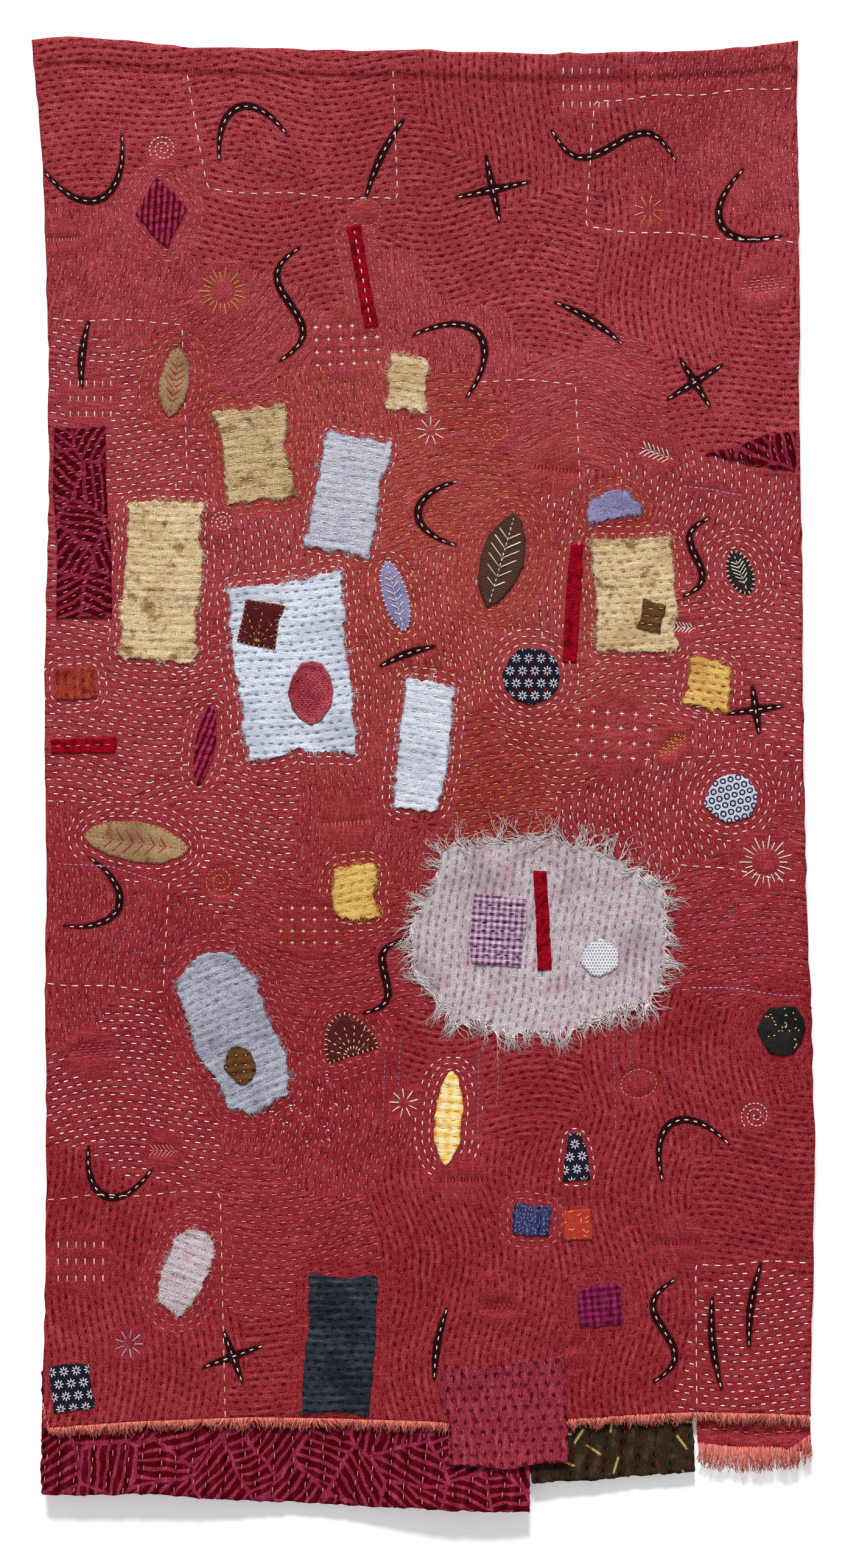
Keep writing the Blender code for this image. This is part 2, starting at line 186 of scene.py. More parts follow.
def hangMap():
    # depth of the cloth's middle, from rays onto the solids, smoothed past their facets
    step = int(hangSizes["sample"] / mapSizes["cell"])
    rows, cols = range(0, len(upward), step), range(0, len(across), step)
    coarse = np.full((len(rows), len(cols)), np.nan)
    fronts = {
        "main_cloth": hangSizes["clothHalf"],
        "print_strip": -hangSizes["stripFront"],
        "brown_strip": -hangSizes["farStripFront"],
        "red_strip": -hangSizes["farStripFront"],
    }
    for node, stands in fronts.items():
        places, corners = flatTriangles(node)
        tree = BVHTree.FromPolygons(places.tolist(), corners.tolist())
        for r, row in enumerate(rows):
            for c, col in enumerate(cols):
                if np.isnan(coarse[r, c]):
                    hit = tree.ray_cast(Vector((across[col], -0.2, upward[row])), Vector((0, 1, 0)))[0]
                    if hit:
                        coarse[r, c] = hit.y + stands
    known = ~np.isnan(coarse)
    depth, weight = np.where(known, coarse, 0.0), known.astype(float)
    for spread in (1.6, 4.0, 12.0):
        far = blurred(weight, spread)
        guess = blurred(depth * weight, spread) / np.maximum(far, 1e-9)
        fresh = (weight == 0) & (far > 1e-3)
        depth[fresh] = guess[fresh]
        weight[fresh] = 1
    tall = np.stack([np.interp(upward, upward[list(rows)], line) for line in depth.T], 1)
    wide = np.stack([np.interp(across, across[list(cols)], line) for line in tall], 0)
    return blurred(wide, hangSizes["smooth"])


hang = hangMap()
mainOutline = outlineOf("main_cloth")
onMain = filled(mainOutline)
print("hang read from the solids")


# Patches: how each one is sewn and finished. Their outlines come from the part.
patchLooks = {
    # node: cloth, turn of the cloth, way of sewing, thread, edge
    "plum_diamond": ("plumStripe", 8, "rows", "plum", "raw"),
    "cream_frayed_small": ("cream", -6, "rows", "cream", "ragged"),
    "khaki_leaf_tall": ("khaki", -8, "veins", "rose", "whip"),
    "tan_block": ("tan", 9, "rows", "cream", "ragged"),
    "cream_tall": ("creamStained", -3, "seeds", "cream", "ragged"),
    "magenta_tall": ("hatchPrint", 20, "rows", "pink", "turned"),
    "mist_block": ("mist", -12, "rows", "white", "ragged"),
    "pale_blue_large": ("paleBlue", 5, "rows", "slate", "ragged"),
    "maroon_square": ("maroon", -10, "leafy", "tan", "whip"),
    "rose_oval": ("rose", 0, "packed", "rose", "turned"),
    "lilac_leaf": ("lilac", 14, "veins", "white", "whip"),
    "pale_blue_strip": ("paleBlue", -7, "rows", "white", "ragged"),
    "striped_leaf": ("plumStripe", -10, "rows", "plum", "turned"),
    "russet_square": ("russet", 3, "seeds", "salmon", "turned"),
    "ribbon_short": ("velvet", 2, "midline", "salmon", "turned"),
    "khaki_leaf_wide": ("khaki", 82, "veins", "rose", "whip"),
    "ribbon_left": ("velvet", 10, "midline", "white", "turned"),
    "dark_leaf": ("darkBrown", -16, "veins", "white", "raw"),
    "flower_print": ("flowerPrint", 0, "cross", "crimson", "raw"),
    "cream_stained": ("creamStained", 4, "rows", "tan", "ragged"),
    "brown_square": ("brown", -12, "rows", "tan", "raw"),
    "lilac_half_moon": ("lilac", 6, "fan", "lilac", "ragged"),
    "ribbon_right": ("velvet", -4, "midline", "crimson", "turned"),
    "yellow_left": ("yellow", 9, "rows", "yellow", "ragged"),
    "yellow_right": ("yellow", -8, "rows", "rose", "ragged"),
    "black_leaf": ("black", 20, "veins", "white", "whip"),
    "magenta_wedge": ("hatchPrint", -70, "rows", "pink", "raw"),
    "ring_print": ("ringPrint", 15, "none", "white", "turned"),
    "grey_rag_large": ("grey", -8, "rows", "slate", "rag"),
    "gingham_patch": ("gingham", -4, "rows", "black", "turned"),
    "crimson_sliver": ("velvet", 3, "midline", "crimson", "turned"),
    "lace_scrap": ("lace", 0, "none", "white", "raw"),
    "maroon_fan": ("maroon", 18, "fan", "cream", "whip"),
    "blue_rag": ("blueGrey", 24, "rows", "lilac", "ragged"),
    "brown_oval": ("brown", 10, "seeds", "cream", "raw"),
    "yellow_check_leaf": ("yellowCheck", -4, "rows", "cream", "raw"),
    "dark_disc": ("black", 0, "dotted", "cream", "turned"),
    "print_tall": ("flowerPrint", 5, "none", "white", "raw"),
    "navy_square": ("navyPrint", -3, "rows", "slate", "raw"),
    "red_gold_square": ("goldPrint", 4, "none", "tan", "turned"),
    "plaid_square": ("plaid", 6, "rows", "plum", "raw"),
    "grey_rag_small": ("grey", -24, "seeds", "white", "ragged"),
    "charcoal_block": ("charcoal", -2, "rows", "black", "raw"),
    "print_corner": ("flowerPrint", 5, "none", "white", "raw"),
    "dotted_patch": ("dottedPrint", 3, "rows", "rose", "raw"),
}
# patches on top of another patch, and the piece that each lies on
topPatches = {"maroon_square": "paleBlueLarge", "rose_oval": "paleBlueLarge", "brown_square": "creamStained",
              "brown_oval": "blueRag", "gingham_patch": "greyRagLarge", "crimson_sliver": "greyRagLarge",
              "lace_scrap": "greyRagLarge"}
patchSizes = {"thick": 0.00055, "clear": 0.00015, "edgeStep": 0.0020, "cell": 0.0030}
# how far a cut edge wanders, its waves as steps and shares, and how much of it each kind of edge takes
edgeSizes = {"wander": 0.0006, "waves": ((1, 0.42), (2, 0.62), (4, 0.62), (10, 0.72)),
             "least": -2.0, "most": 1.8}
edgeShares = {"ragged": 2.0, "rag": 4.4, "raw": 1.0, "whip": 0.45, "turned": 0.45}
stripLooks = {
    # node: cloth, turn of the cloth, front behind the hang's middle, thread, line angle
    "print_strip": ("hatchPrint", 0, hangSizes["stripFront"], "pink", 90),
    "brown_strip": ("brownMarks", 8, hangSizes["farStripFront"], "crimson", 90),
    "red_strip": ("redPlain", 0, hangSizes["farStripFront"], "pink", 0),
}


def outward(line):
    # the direction out of a closed, anticlockwise line at each of its points
    run = np.roll(line, -1, axis=0) - np.roll(line, 1, axis=0)
    run /= np.maximum(np.linalg.norm(run, axis=1, keepdims=True), 1e-9)
    return pairs(run[:, 1], -run[:, 0])


def unevenLoop(count, every, own):
    # smooth random values round a closed line, one free value at every so many points
    knots = max(4, count // every)
    values = own.normal(0, 1, knots)
    return np.interp(np.arange(count), np.linspace(0, count, knots + 1), np.append(values, values[0]))


def roughOutline(node, wander, seed):
    # the solid's outline with the unevenness of a hand cut
    line = spaced(outlineOf(node), patchSizes["edgeStep"])
    own = np.random.default_rng(seed)
    shake = sum(share * unevenLoop(len(line), every, own) for every, share in edgeSizes["waves"])
    return line + outward(line) * (np.clip(shake, edgeSizes["least"], edgeSizes["most"]) * wander)[:, None]


def standOf(node):
    # how far a patch's face stands before the red cloth
    return (patchSizes["thick"] + patchSizes["clear"]) * (2 if node in topPatches else 1)


patchLines, patchOn = {}, {}
layerTop = np.zeros_like(mapX)
for seed, (node, look) in enumerate(patchLooks.items()):
    patchLines[node] = roughOutline(node, edgeSizes["wander"] * edgeShares[look[4]], seed)
    patchOn[node] = filled(patchLines[node])
for node in sorted(patchLooks, key=lambda name: name in topPatches):
    layerTop[patchOn[node]] = standOf(node)
patched = layerTop > 0
openCloth = onMain & ~patched
print("patch outlines ready")


# Rows of running stitches: a lattice turned to the rows' angle, with the rows softly waved.
# u counts stitches along a row and v counts rows, and the cloth's material reads both.
def fieldOf(*values):
    return dict(zip(("x", "z", "angle", "gap", "pitch", "wave", "waveLong", "phase"), values))


def waveOf(field, s):
    return field["wave"] * np.sin(2 * np.pi * s / field["waveLong"] + field["phase"])


def rowsAt(field, x, z):
    turn = np.radians(field["angle"])
    s = (x - field["x"]) * np.cos(turn) + (z - field["z"]) * np.sin(turn)
    t = -(x - field["x"]) * np.sin(turn) + (z - field["z"]) * np.cos(turn)
    return s / field["pitch"], (t + waveOf(field, s)) / field["gap"]


def placeOf(field, u, v):
    turn = np.radians(field["angle"])
    s = u * field["pitch"]
    t = v * field["gap"] - waveOf(field, s)
    return field["x"] + s * np.cos(turn) - t * np.sin(turn), field["z"] + s * np.sin(turn) + t * np.cos(turn)


rowShift = {"half": 0.5, "swing": 0.27, "beat": 7.3}  # how far each row's stitches start along it


def rowStitches(field, reach, length, shake=0.05):
    # both ends of each stitch of the lattice, out to the reach from its centre
    cols, rows = int(reach / field["pitch"]) + 2, int(reach / field["gap"]) + 2
    k, j = np.meshgrid(np.arange(-cols, cols + 1), np.arange(-rows, rows + 1))
    k, j = k.ravel().astype(float), j.ravel().astype(float)
    own = np.random.default_rng(int(abs(field["x"] * 7919 + field["z"] * 104729) * 1000) % 99991)
    shift = rowShift["half"] * j + rowShift["swing"] * np.sin(rowShift["beat"] * j)
    middle = k + 0.5 - shift + own.normal(0, shake, k.shape)
    level = j + own.normal(0, shake, k.shape)
    half = 0.5 * length / field["pitch"] * own.uniform(0.86, 1.14, k.shape)
    return np.stack([*placeOf(field, middle - half, level), *placeOf(field, middle + half, level)], 1)


# The red cloth's fields of stitching: centre, row angle, thread and the wave of the rows.
fieldRows = (
    (-0.235, -0.045, 3, "crimson", 0.002), (-0.075, -0.060, -2, "crimson", 0.004),
    (0.085, -0.050, 90, "crimson", 0.003), (0.235, -0.060, 86, "pink", 0.004),
    (-0.245, -0.175, 88, "pink", 0.005), (-0.110, -0.150, 0, "crimson", 0.004),
    (0.060, -0.165, 2, "crimson", 0.005), (0.205, -0.180, 93, "crimson", 0.004),
    (-0.160, -0.225, 40, "pink", 0.006), (0.000, -0.215, 90, "pink", 0.003),
    (0.120, -0.285, 0, "pink", 0.006), (0.255, -0.265, 4, "crimson", 0.003),
    (-0.250, -0.275, 0, "white", 0.004), (-0.060, -0.268, 90, "yellow", 0.004),
    (0.030, -0.330, 8, "yellow", 0.005), (0.225, -0.365, 88, "white", 0.004),
    (-0.150, -0.390, 90, "white", 0.003), (0.020, -0.450, 92, "cream", 0.004),
    (0.110, -0.400, 86, "white", 0.003), (-0.225, -0.495, 0, "white", 0.005),
    (0.130, -0.530, 3, "cream", 0.005), (0.250, -0.470, 0, "white", 0.003),
    (-0.150, -0.605, 4, "white", 0.006), (-0.030, -0.600, 90, "pink", 0.004),
    (0.060, -0.600, 0, "yellow", 0.005), (0.180, -0.600, 92, "white", 0.004),
    (-0.255, -0.700, 90, "pink", 0.003), (-0.070, -0.720, 0, "pink", 0.006),
    (0.240, -0.690, 0, "pink", 0.004), (-0.225, -0.830, 2, "white", 0.005),
    (-0.080, -0.850, 90, "pink", 0.004), (0.040, -0.800, 0, "crimson", 0.005),
    (0.185, -0.800, 90, "crimson", 0.005), (-0.265, -0.930, 88, "crimson", 0.003),
    (-0.120, -0.930, 5, "pink", 0.005), (0.030, -0.920, 92, "crimson", 0.005),
    (0.150, -0.900, 88, "crimson", 0.005), (0.265, -0.900, 0, "crimson", 0.004),
    (-0.200, -1.030, 90, "crimson", 0.004), (-0.090, -1.050, 0, "crimson", 0.003),
    (0.010, -1.030, 90, "crimson", 0.004), (0.170, -1.010, 91, "crimson", 0.005),
    (0.265, -1.030, 0, "white", 0.003),
)
fieldSizes = {"gap": 0.0058, "pitch": 0.0079, "long": 0.0041, "reach": 0.15, "blend": 0.022, "sway": 1.5}
fields = [
    fieldOf(x, z, angle, fieldSizes["gap"], fieldSizes["pitch"], fieldSizes["sway"] * wave,
            0.13 + 0.014 * (count % 5), count * 1.7)
    for count, (x, z, angle, thread, wave) in enumerate(fieldRows)
]
warpX, warpZ = cloudy(0.05, 0.05, 3), cloudy(0.05, 0.05, 4)


def fieldAt(x, z):
    # which field a place belongs to: the nearest centre, with uneven borders
    cell = cellOf(x, z)
    px, pz = x + fieldSizes["blend"] * warpX[cell], z + fieldSizes["blend"] * warpZ[cell]
    best, nearest = np.zeros(np.shape(x), int), np.full(np.shape(x), 9.0)
    for count, field in enumerate(fields):
        far = np.hypot(px - field["x"], 1.15 * (pz - field["z"]))
        closer = far < nearest
        best[closer], nearest[closer] = count, far[closer]
    return best


# Sewing along lines.
def turnedLine(points, turn, x, z):
    c, s = math.cos(math.radians(turn)), math.sin(math.radians(turn))
    points = np.asarray(points, float)
    return pairs(x + points[:, 0] * c - points[:, 1] * s, z + points[:, 0] * s + points[:, 1] * c)


def lineDistance(line, halfAt, window):
    # distance from each cell of the window to the line, less the line's half width there
    x, z = mapX[window], mapZ[window]
    least = np.full(x.shape, 9.0)
    for k in range(len(line) - 1):
        a, d = line[k], line[k + 1] - line[k]
        share = np.clip(((x - a[0]) * d[0] + (z - a[1]) * d[1]) / max(d @ d, 1e-12), 0, 1)
        far = np.hypot(x - a[0] - share * d[0], z - a[1] - share * d[1])
        least = np.minimum(least, far - halfAt((k + share) / (len(line) - 1)))
    return least


def sewAlong(line, length, gap, start=0.0):
    # running stitches along a line: both ends of each
    line = np.asarray(line, float)
    run = np.concatenate([[0], np.cumsum(np.linalg.norm(np.diff(line, axis=0), axis=1))])
    first = np.arange(start, max(run[-1] - length * 0.6, 1e-6), length + gap)
    last = np.minimum(first + length, run[-1])
    return np.stack([np.interp(m, run, line[:, k]) for m in (first, last) for k in (0, 1)], 1)


stitches = {}  # thread: list of arrays of stitch ends
cleared = np.zeros_like(onMain)  # where the fields leave room for other stitching


def middles(ends):
    return cellOf(0.5 * (ends[:, 0] + ends[:, 2]), 0.5 * (ends[:, 1] + ends[:, 3]))


def sew(thread, ends, allowed=None):
    if allowed is not None:
        ends = ends[allowed[middles(ends)]]
    if len(ends):
        stitches.setdefault(thread, []).append(ends)


def clearRound(line, margin):
    window = windowOf(line, margin)
    cleared[window] |= lineDistance(line, lambda share: margin, window) < 0


# Hand-drawn marks in dark ink: arcs, waves, bars and crosses, each a line with its half width.
inkSizes = {"half": 0.0032, "grow": 1.3, "stitch": 0.0037, "gap": 0.0036, "reach": 0.006, "window": 0.012,
            "clear": 0.0042}
inkMarks = (
    # form, centre, size, turn
    ("arc", -0.262, -0.100, 0.060, 200), ("arc", -0.140, -0.060, 0.050, 20),
    ("bar", -0.030, -0.085, 0.052, 64), ("cross", 0.055, -0.110, 0.046, 12),
    ("wave", 0.150, -0.075, 0.078, -14), ("arc", 0.250, -0.130, 0.052, 120),
    ("wave", -0.105, -0.200, 0.070, 80), ("arc", 0.030, -0.235, 0.056, 310),
    ("bar", 0.130, -0.215, 0.048, -32), ("cross", 0.214, -0.262, 0.040, 32),
    ("bar", -0.266, -0.240, 0.040, 84), ("arc", 0.010, -0.365, 0.044, 90),
    ("wave", 0.215, -0.400, 0.050, 72), ("bar", -0.012, -0.478, 0.036, 20),
    ("arc", -0.255, -0.670, 0.050, 250), ("cross", 0.262, -0.520, 0.034, 8),
    ("wave", -0.030, -0.730, 0.052, 60), ("arc", 0.205, -0.860, 0.052, 30),
    ("bar", 0.262, -0.990, 0.052, 82), ("bar", 0.232, -1.020, 0.056, 96),
    ("wave", 0.190, -1.010, 0.064, 78), ("arc", -0.245, -0.890, 0.046, 160),
    ("bar", 0.014, -1.020, 0.044, 80), ("cross", -0.150, -1.030, 0.038, 20),
)


def markLines(form, x, z, size, turn):
    t = np.linspace(-0.5, 0.5, 13)
    forms = {
        "arc": [(size * np.sin(2.2 * t) / 2.0, size * (np.cos(2.2 * t) - 0.75))],
        "wave": [(size * t, 0.16 * size * np.sin(2 * np.pi * t))],
        "cross": [(size * t, 0 * t), (0 * t, size * t * 0.9)],
        "bar": [(size * t, 0.05 * size * np.cos(3 * t))],
    }
    return [turnedLine(pairs(*line), turn, x, z) for line in forms[form]]


def inkHalf(share):
    # a mark is thin at its ends
    return inkSizes["half"] * (0.55 + 0.6 * np.sin(np.pi * np.clip(share, 0.02, 0.98)))


ink = np.full_like(mapX, inkSizes["reach"])
for form, x, z, size, turn in inkMarks:
    for line in markLines(form, x, z, inkSizes["grow"] * size, turn):
        window = windowOf(line, inkSizes["window"])
        ink[window] = np.minimum(ink[window], lineDistance(line, inkHalf, window))
        clearRound(line, inkSizes["clear"])
        sew("white", sewAlong(line, inkSizes["stitch"], inkSizes["gap"], 0.002), openCloth)
print("ink marks drawn:", len(inkMarks))


# Small embroidered figures: traditional spirals, stars, sprigs, combs, plus grids and seed stitches.
def spiral(size, turns=2.6):
    t = np.linspace(0.12, 1, 60)
    return [pairs(size * t * np.cos(2 * np.pi * turns * t), size * t * np.sin(2 * np.pi * turns * t))]


def ring(size):
    t = np.linspace(0, 2 * np.pi, 40)
    return [pairs(size * np.cos(t), 0.8 * size * np.sin(t))]


def star(size, count=9, reaches=((0.3, 1.0),)):
    # strokes out from a middle, whose reaches take turns
    lines = []
    for k, a in enumerate(np.arange(count) * 2 * np.pi / count):
        reach = np.array(reaches[k % len(reaches)]) * size
        lines.append(pairs(reach * np.cos(a), reach * np.sin(a)))
    return lines


def rays(size):
    return star(size, 22, ((0.46, 0.8), (0.46, 1.0)))


def sprig(size):
    lines = [np.array([[0, -size], [0, size]])]
    for z in np.linspace(-0.75, 0.6, 6) * size:
        for side in (-1, 1):
            lines.append(np.array([[0, z], [side * 0.42 * size, z + 0.34 * size]]))
    return lines


def comb(size, count=13):
    return [np.array([[x, -0.14 * size], [x, 0.14 * size]]) for x in np.linspace(-size, size, count)]


def tally(size, count=6, rows=3):
    return [np.array([[x, z - 0.13 * size], [x, z + 0.13 * size]])
            for x in np.linspace(-0.8, 0.8, count) * size for z in np.linspace(-0.6, 0.6, rows) * size]


def plusGrid(size, cols=6, rows=4):
    lines = []
    arm = size * 0.085
    for x in np.linspace(-1, 1, cols) * size:
        for z in np.linspace(-0.62, 0.62, rows) * size:
            lines += [np.array([[x - arm, z], [x + arm, z]]), np.array([[x, z - arm], [x, z + arm]])]
    return lines


def eye(size):
    # a pointed oval packed with short stitches
    lines = []
    for k, z in enumerate(np.linspace(-0.34, 0.34, 6)):
        half = math.sqrt(max(0.0, 1 - (z / 0.42) ** 2))
        for x in np.arange(-half + 0.14 * (k % 2), half - 0.1, 0.30):
            lines.append(np.array([[x, z], [x + 0.2, z]]) * size)
    return lines


def seeds(size, count=46, half=0.0011):
    own = np.random.default_rng(int(size * 1e5))
    reach = np.sqrt(own.uniform(0, 1, count)) * size
    turn, lean = own.uniform(0, 6.28, count), own.uniform(0, 6.28, count)
    tips = pairs(half * np.cos(lean), half * np.sin(lean))
    return [np.array([place - tip, place + tip])
            for place, tip in zip(pairs(reach * np.cos(turn), reach * np.sin(turn)), tips)]


figures = {
    make.__name__: make for make in (spiral, ring, star, rays, sprig, comb, tally, plusGrid, eye, seeds)
}
figureSizes = {"stitch": 0.0024, "gap": 0.0009, "stemStitch": 0.003, "stemGap": 0.001, "margin": 0.002}
figureRows = (
    # figure, x, z, size, thread, turn
    ("spiral", -0.205, -0.078, 0.011, "white", 0), ("tally", 0.128, -0.030, 0.022, "white", 0),
    ("comb", -0.284, -0.150, 0.014, "pink", 2), ("star", 0.178, -0.126, 0.013, "yellow", 0),
    ("ring", -0.046, -0.128, 0.013, "pink", 0), ("eye", 0.268, -0.185, 0.018, "pink", 6),
    ("seeds", 0.095, -0.165, 0.030, "pink", 0), ("plusGrid", -0.060, -0.232, 0.024, "white", 3),
    ("rays", -0.158, -0.190, 0.020, "yellow", 0), ("sprig", 0.184, -0.318, 0.014, "white", 70),
    ("spiral", 0.058, -0.300, 0.012, "yellow", 60), ("star", 0.006, -0.300, 0.012, "white", 10),
    ("comb", 0.105, -0.330, 0.017, "crimson", -8), ("tally", -0.262, -0.275, 0.020, "white", 0),
    ("spiral", -0.158, -0.372, 0.009, "white", 0), ("seeds", 0.020, -0.505, 0.026, "cream", 0),
    ("sprig", 0.205, -0.455, 0.010, "white", 84), ("plusGrid", 0.150, -0.540, 0.028, "white", -4),
    ("eye", 0.196, -0.548, 0.013, "yellow", 40), ("rays", 0.270, -0.640, 0.022, "white", 0),
    ("spiral", -0.160, -0.655, 0.013, "yellow", 120), ("seeds", -0.218, -0.690, 0.036, "slate", 0),
    ("comb", -0.060, -0.610, 0.018, "pink", 4), ("star", 0.000, -0.610, 0.011, "crimson", 0),
    ("plusGrid", -0.090, -0.690, 0.022, "cream", 0), ("seeds", 0.232, -0.700, 0.040, "slate", 0),
    ("ring", 0.170, -0.815, 0.014, "yellow", 10), ("eye", -0.262, -0.790, 0.017, "rose", 4),
    ("spiral", 0.262, -0.840, 0.012, "white", 20), ("sprig", -0.205, -0.868, 0.012, "pink", 88),
    ("tally", -0.270, -0.955, 0.022, "white", 0), ("comb", 0.030, -0.890, 0.016, "crimson", 0),
    ("star", -0.015, -0.830, 0.012, "white", 15), ("seeds", -0.090, -0.830, 0.034, "white", 0),
    ("comb", 0.200, -0.940, 0.018, "crimson", 0), ("eye", 0.060, -0.990, 0.013, "crimson", 0),
    ("star", -0.232, -1.020, 0.012, "lilac", 0), ("ring", 0.120, -1.030, 0.012, "crimson", 0),
)
for figure, x, z, size, thread, turn in figureRows:
    for line in figures[figure](size):
        line = turnedLine(line, turn, x, z)
        if figure in ("spiral", "ring"):
            ends = sewAlong(line, figureSizes["stitch"], figureSizes["gap"])
        elif figure == "sprig" and np.linalg.norm(line[1] - line[0]) > size * 1.5:
            ends = sewAlong(line, figureSizes["stemStitch"], figureSizes["stemGap"])
        else:
            ends = np.array([[*line[0], *line[-1]]])
        sew(thread, ends, openCloth)
    if figure != "seeds":
        cleared |= np.hypot(mapX - x, mapZ - z) < size * 1.12 + figureSizes["margin"]
print("figures sewn:", len(figureRows))


# Long running lines that cross the hanging in white thread, and short broken lines in lilac.
roadSizes = {"stitch": 0.0056, "gap": 0.0040, "margin": 0.0034, "thinStitch": 0.55, "thinGap": 0.3}
roads = (
    ("white", ((0.30, -0.028), (0.135, -0.040), (0.128, -0.140), (0.300, -0.152))),
    ("white", ((-0.292, -0.212), (-0.190, -0.215), (-0.186, -0.330))),
    ("white", ((-0.186, -0.020), (-0.170, -0.110), (-0.020, -0.118), (-0.024, -0.010))),
    ("white", ((0.045, -0.260), (0.120, -0.262), (0.124, -0.350))),
    ("white", ((0.298, -0.560), (0.205, -0.556), (0.196, -0.640), (0.300, -0.655))),
    ("white", ((-0.296, -0.735), (-0.205, -0.742), (-0.200, -0.650))),
    ("white", ((0.302, -0.955), (0.215, -0.958), (0.216, -1.070))),
    ("cream", ((-0.296, -0.905), (-0.160, -0.900), (-0.156, -1.078))),
    ("lilac", ((0.205, -0.345), (0.252, -0.350))),
    ("lilac", ((-0.288, -0.640), (-0.246, -0.645), (-0.205, -0.655))),
    ("lilac", ((0.212, -0.738), (0.298, -0.745))),
    ("slate", ((-0.030, -0.790), (-0.032, -0.850))), ("slate", ((-0.018, -0.780), (-0.020, -0.830))),
    ("slate", ((0.044, -0.790), (0.043, -0.860))), ("slate", ((0.060, -0.795), (0.058, -0.835))),
    ("slate", ((0.150, -0.775), (0.152, -0.850))), ("slate", ((0.164, -0.770), (0.163, -0.815))),
)
for thread, corners in roads:
    line = spaced(np.array(corners), 0.004, closed=False)
    line[:, 1] += 0.0012 * np.sin(line[:, 0] * 90 + line[:, 1] * 70)
    thin = thread not in ("white", "cream")
    ends = sewAlong(line, roadSizes["stitch"] * (roadSizes["thinStitch"] if thin else 1.0),
                    roadSizes["gap"] * (roadSizes["thinGap"] if thin else 1.0))
    sew(thread, ends, openCloth)
    clearRound(line, roadSizes["margin"])
print("running lines sewn:", len(roads))


# Echo rows: running stitches that follow a patch's outline outwards, as quilters sew them.
echoSizes = {"first": 0.0042, "gap": 0.0056, "stitch": 0.0040, "space": 0.0036, "start": 0.002,
             "clear": 0.0026}
echoRows = {
    # node: thread, rows
    "plum_diamond": ("pink", 3), "khaki_leaf_tall": ("yellow", 3), "tan_block": ("yellow", 2),
    "cream_tall": ("white", 2), "mist_block": ("white", 1), "pale_blue_large": ("white", 2),
    "lilac_leaf": ("cream", 2), "pale_blue_strip": ("white", 2), "striped_leaf": ("white", 2),
    "khaki_leaf_wide": ("white", 3), "dark_leaf": ("yellow", 4), "flower_print": ("white", 3),
    "cream_stained": ("cream", 2), "lilac_half_moon": ("yellow", 2), "black_leaf": ("white", 4),
    "yellow_right": ("white", 2), "ring_print": ("white", 3), "yellow_left": ("cream", 2),
    "maroon_fan": ("pink", 3), "blue_rag": ("pink", 3), "yellow_check_leaf": ("white", 3),
    "dark_disc": ("crimson", 4), "print_tall": ("white", 1), "navy_square": ("pink", 2),
    "plaid_square": ("crimson", 3), "grey_rag_small": ("pink", 3), "charcoal_block": ("crimson", 2),
    "russet_square": ("white", 2), "ribbon_left": ("pink", 2), "ribbon_right": ("cream", 1),
}
for node, (thread, rows) in echoRows.items():
    line = spaced(patchLines[node], 0.004)
    for row in range(rows):
        echo = line + outward(line) * (echoSizes["first"] + row * echoSizes["gap"])
        echo = (np.roll(echo, 1, axis=0) + 2 * echo + np.roll(echo, -1, axis=0)) / 4
        echo = np.vstack([echo, echo[:1]])
        ends = sewAlong(echo, echoSizes["stitch"], echoSizes["space"], echoSizes["start"] * (row % 2))
        sew(thread, ends, openCloth & ~cleared)
        clearRound(echo, echoSizes["clear"])
print("echo rows sewn:", sum(rows for _, rows in echoRows.values()))

# The fields themselves, kept to their own borders, off the patches and off the figures.
nearPatch = blurred(patched.astype(float), 1.2) > 0.12
edgeFar = blurred(onMain.astype(float), 2.2) > 0.93
reverse = []
for count, (field, row) in enumerate(zip(fields, fieldRows)):
    ends = rowStitches(field, fieldSizes["reach"], fieldSizes["long"])
    ends = ends[(edgeFar & ~nearPatch & ~cleared)[middles(ends)]]
    middle = 0.5 * (ends[:, :2] + ends[:, 2:])
    ends = ends[fieldAt(middle[:, 0], middle[:, 1]) == count]
    sew(row[3], ends)
    reverse.append(ends)
reverse = np.concatenate(reverse)
print("field stitches:", len(reverse))


# Stitches on the patches.
rowWays = {
    # way of sewing: gap between the rows, pitch along them and length of a stitch
    "rows": (0.0066, 0.0078, 0.0040),
    "packed": (0.0016, 0.0034, 0.0028),
    "seeds": (0.0066, 0.0078, 0.0015),
}
sewSizes = {"shake": 0.09, "wave": 0.001, "waveLong": 0.09, "spare": 0.004, "whip": 0.0040, "whipOut": 0.0010,
            "whipIn": 0.0018}
patchFields = {}


def patchField(way, turn, x, z, span):
    # the rows of a patch run along it; a patch that isn't sewn in rows has none
    if way in rowWays:
        angle = turn + (0 if span[0] < span[1] else 90)
        return fieldOf(x, z, angle, *rowWays[way][:2], sewSizes["wave"], sewSizes["waveLong"], x * 50)


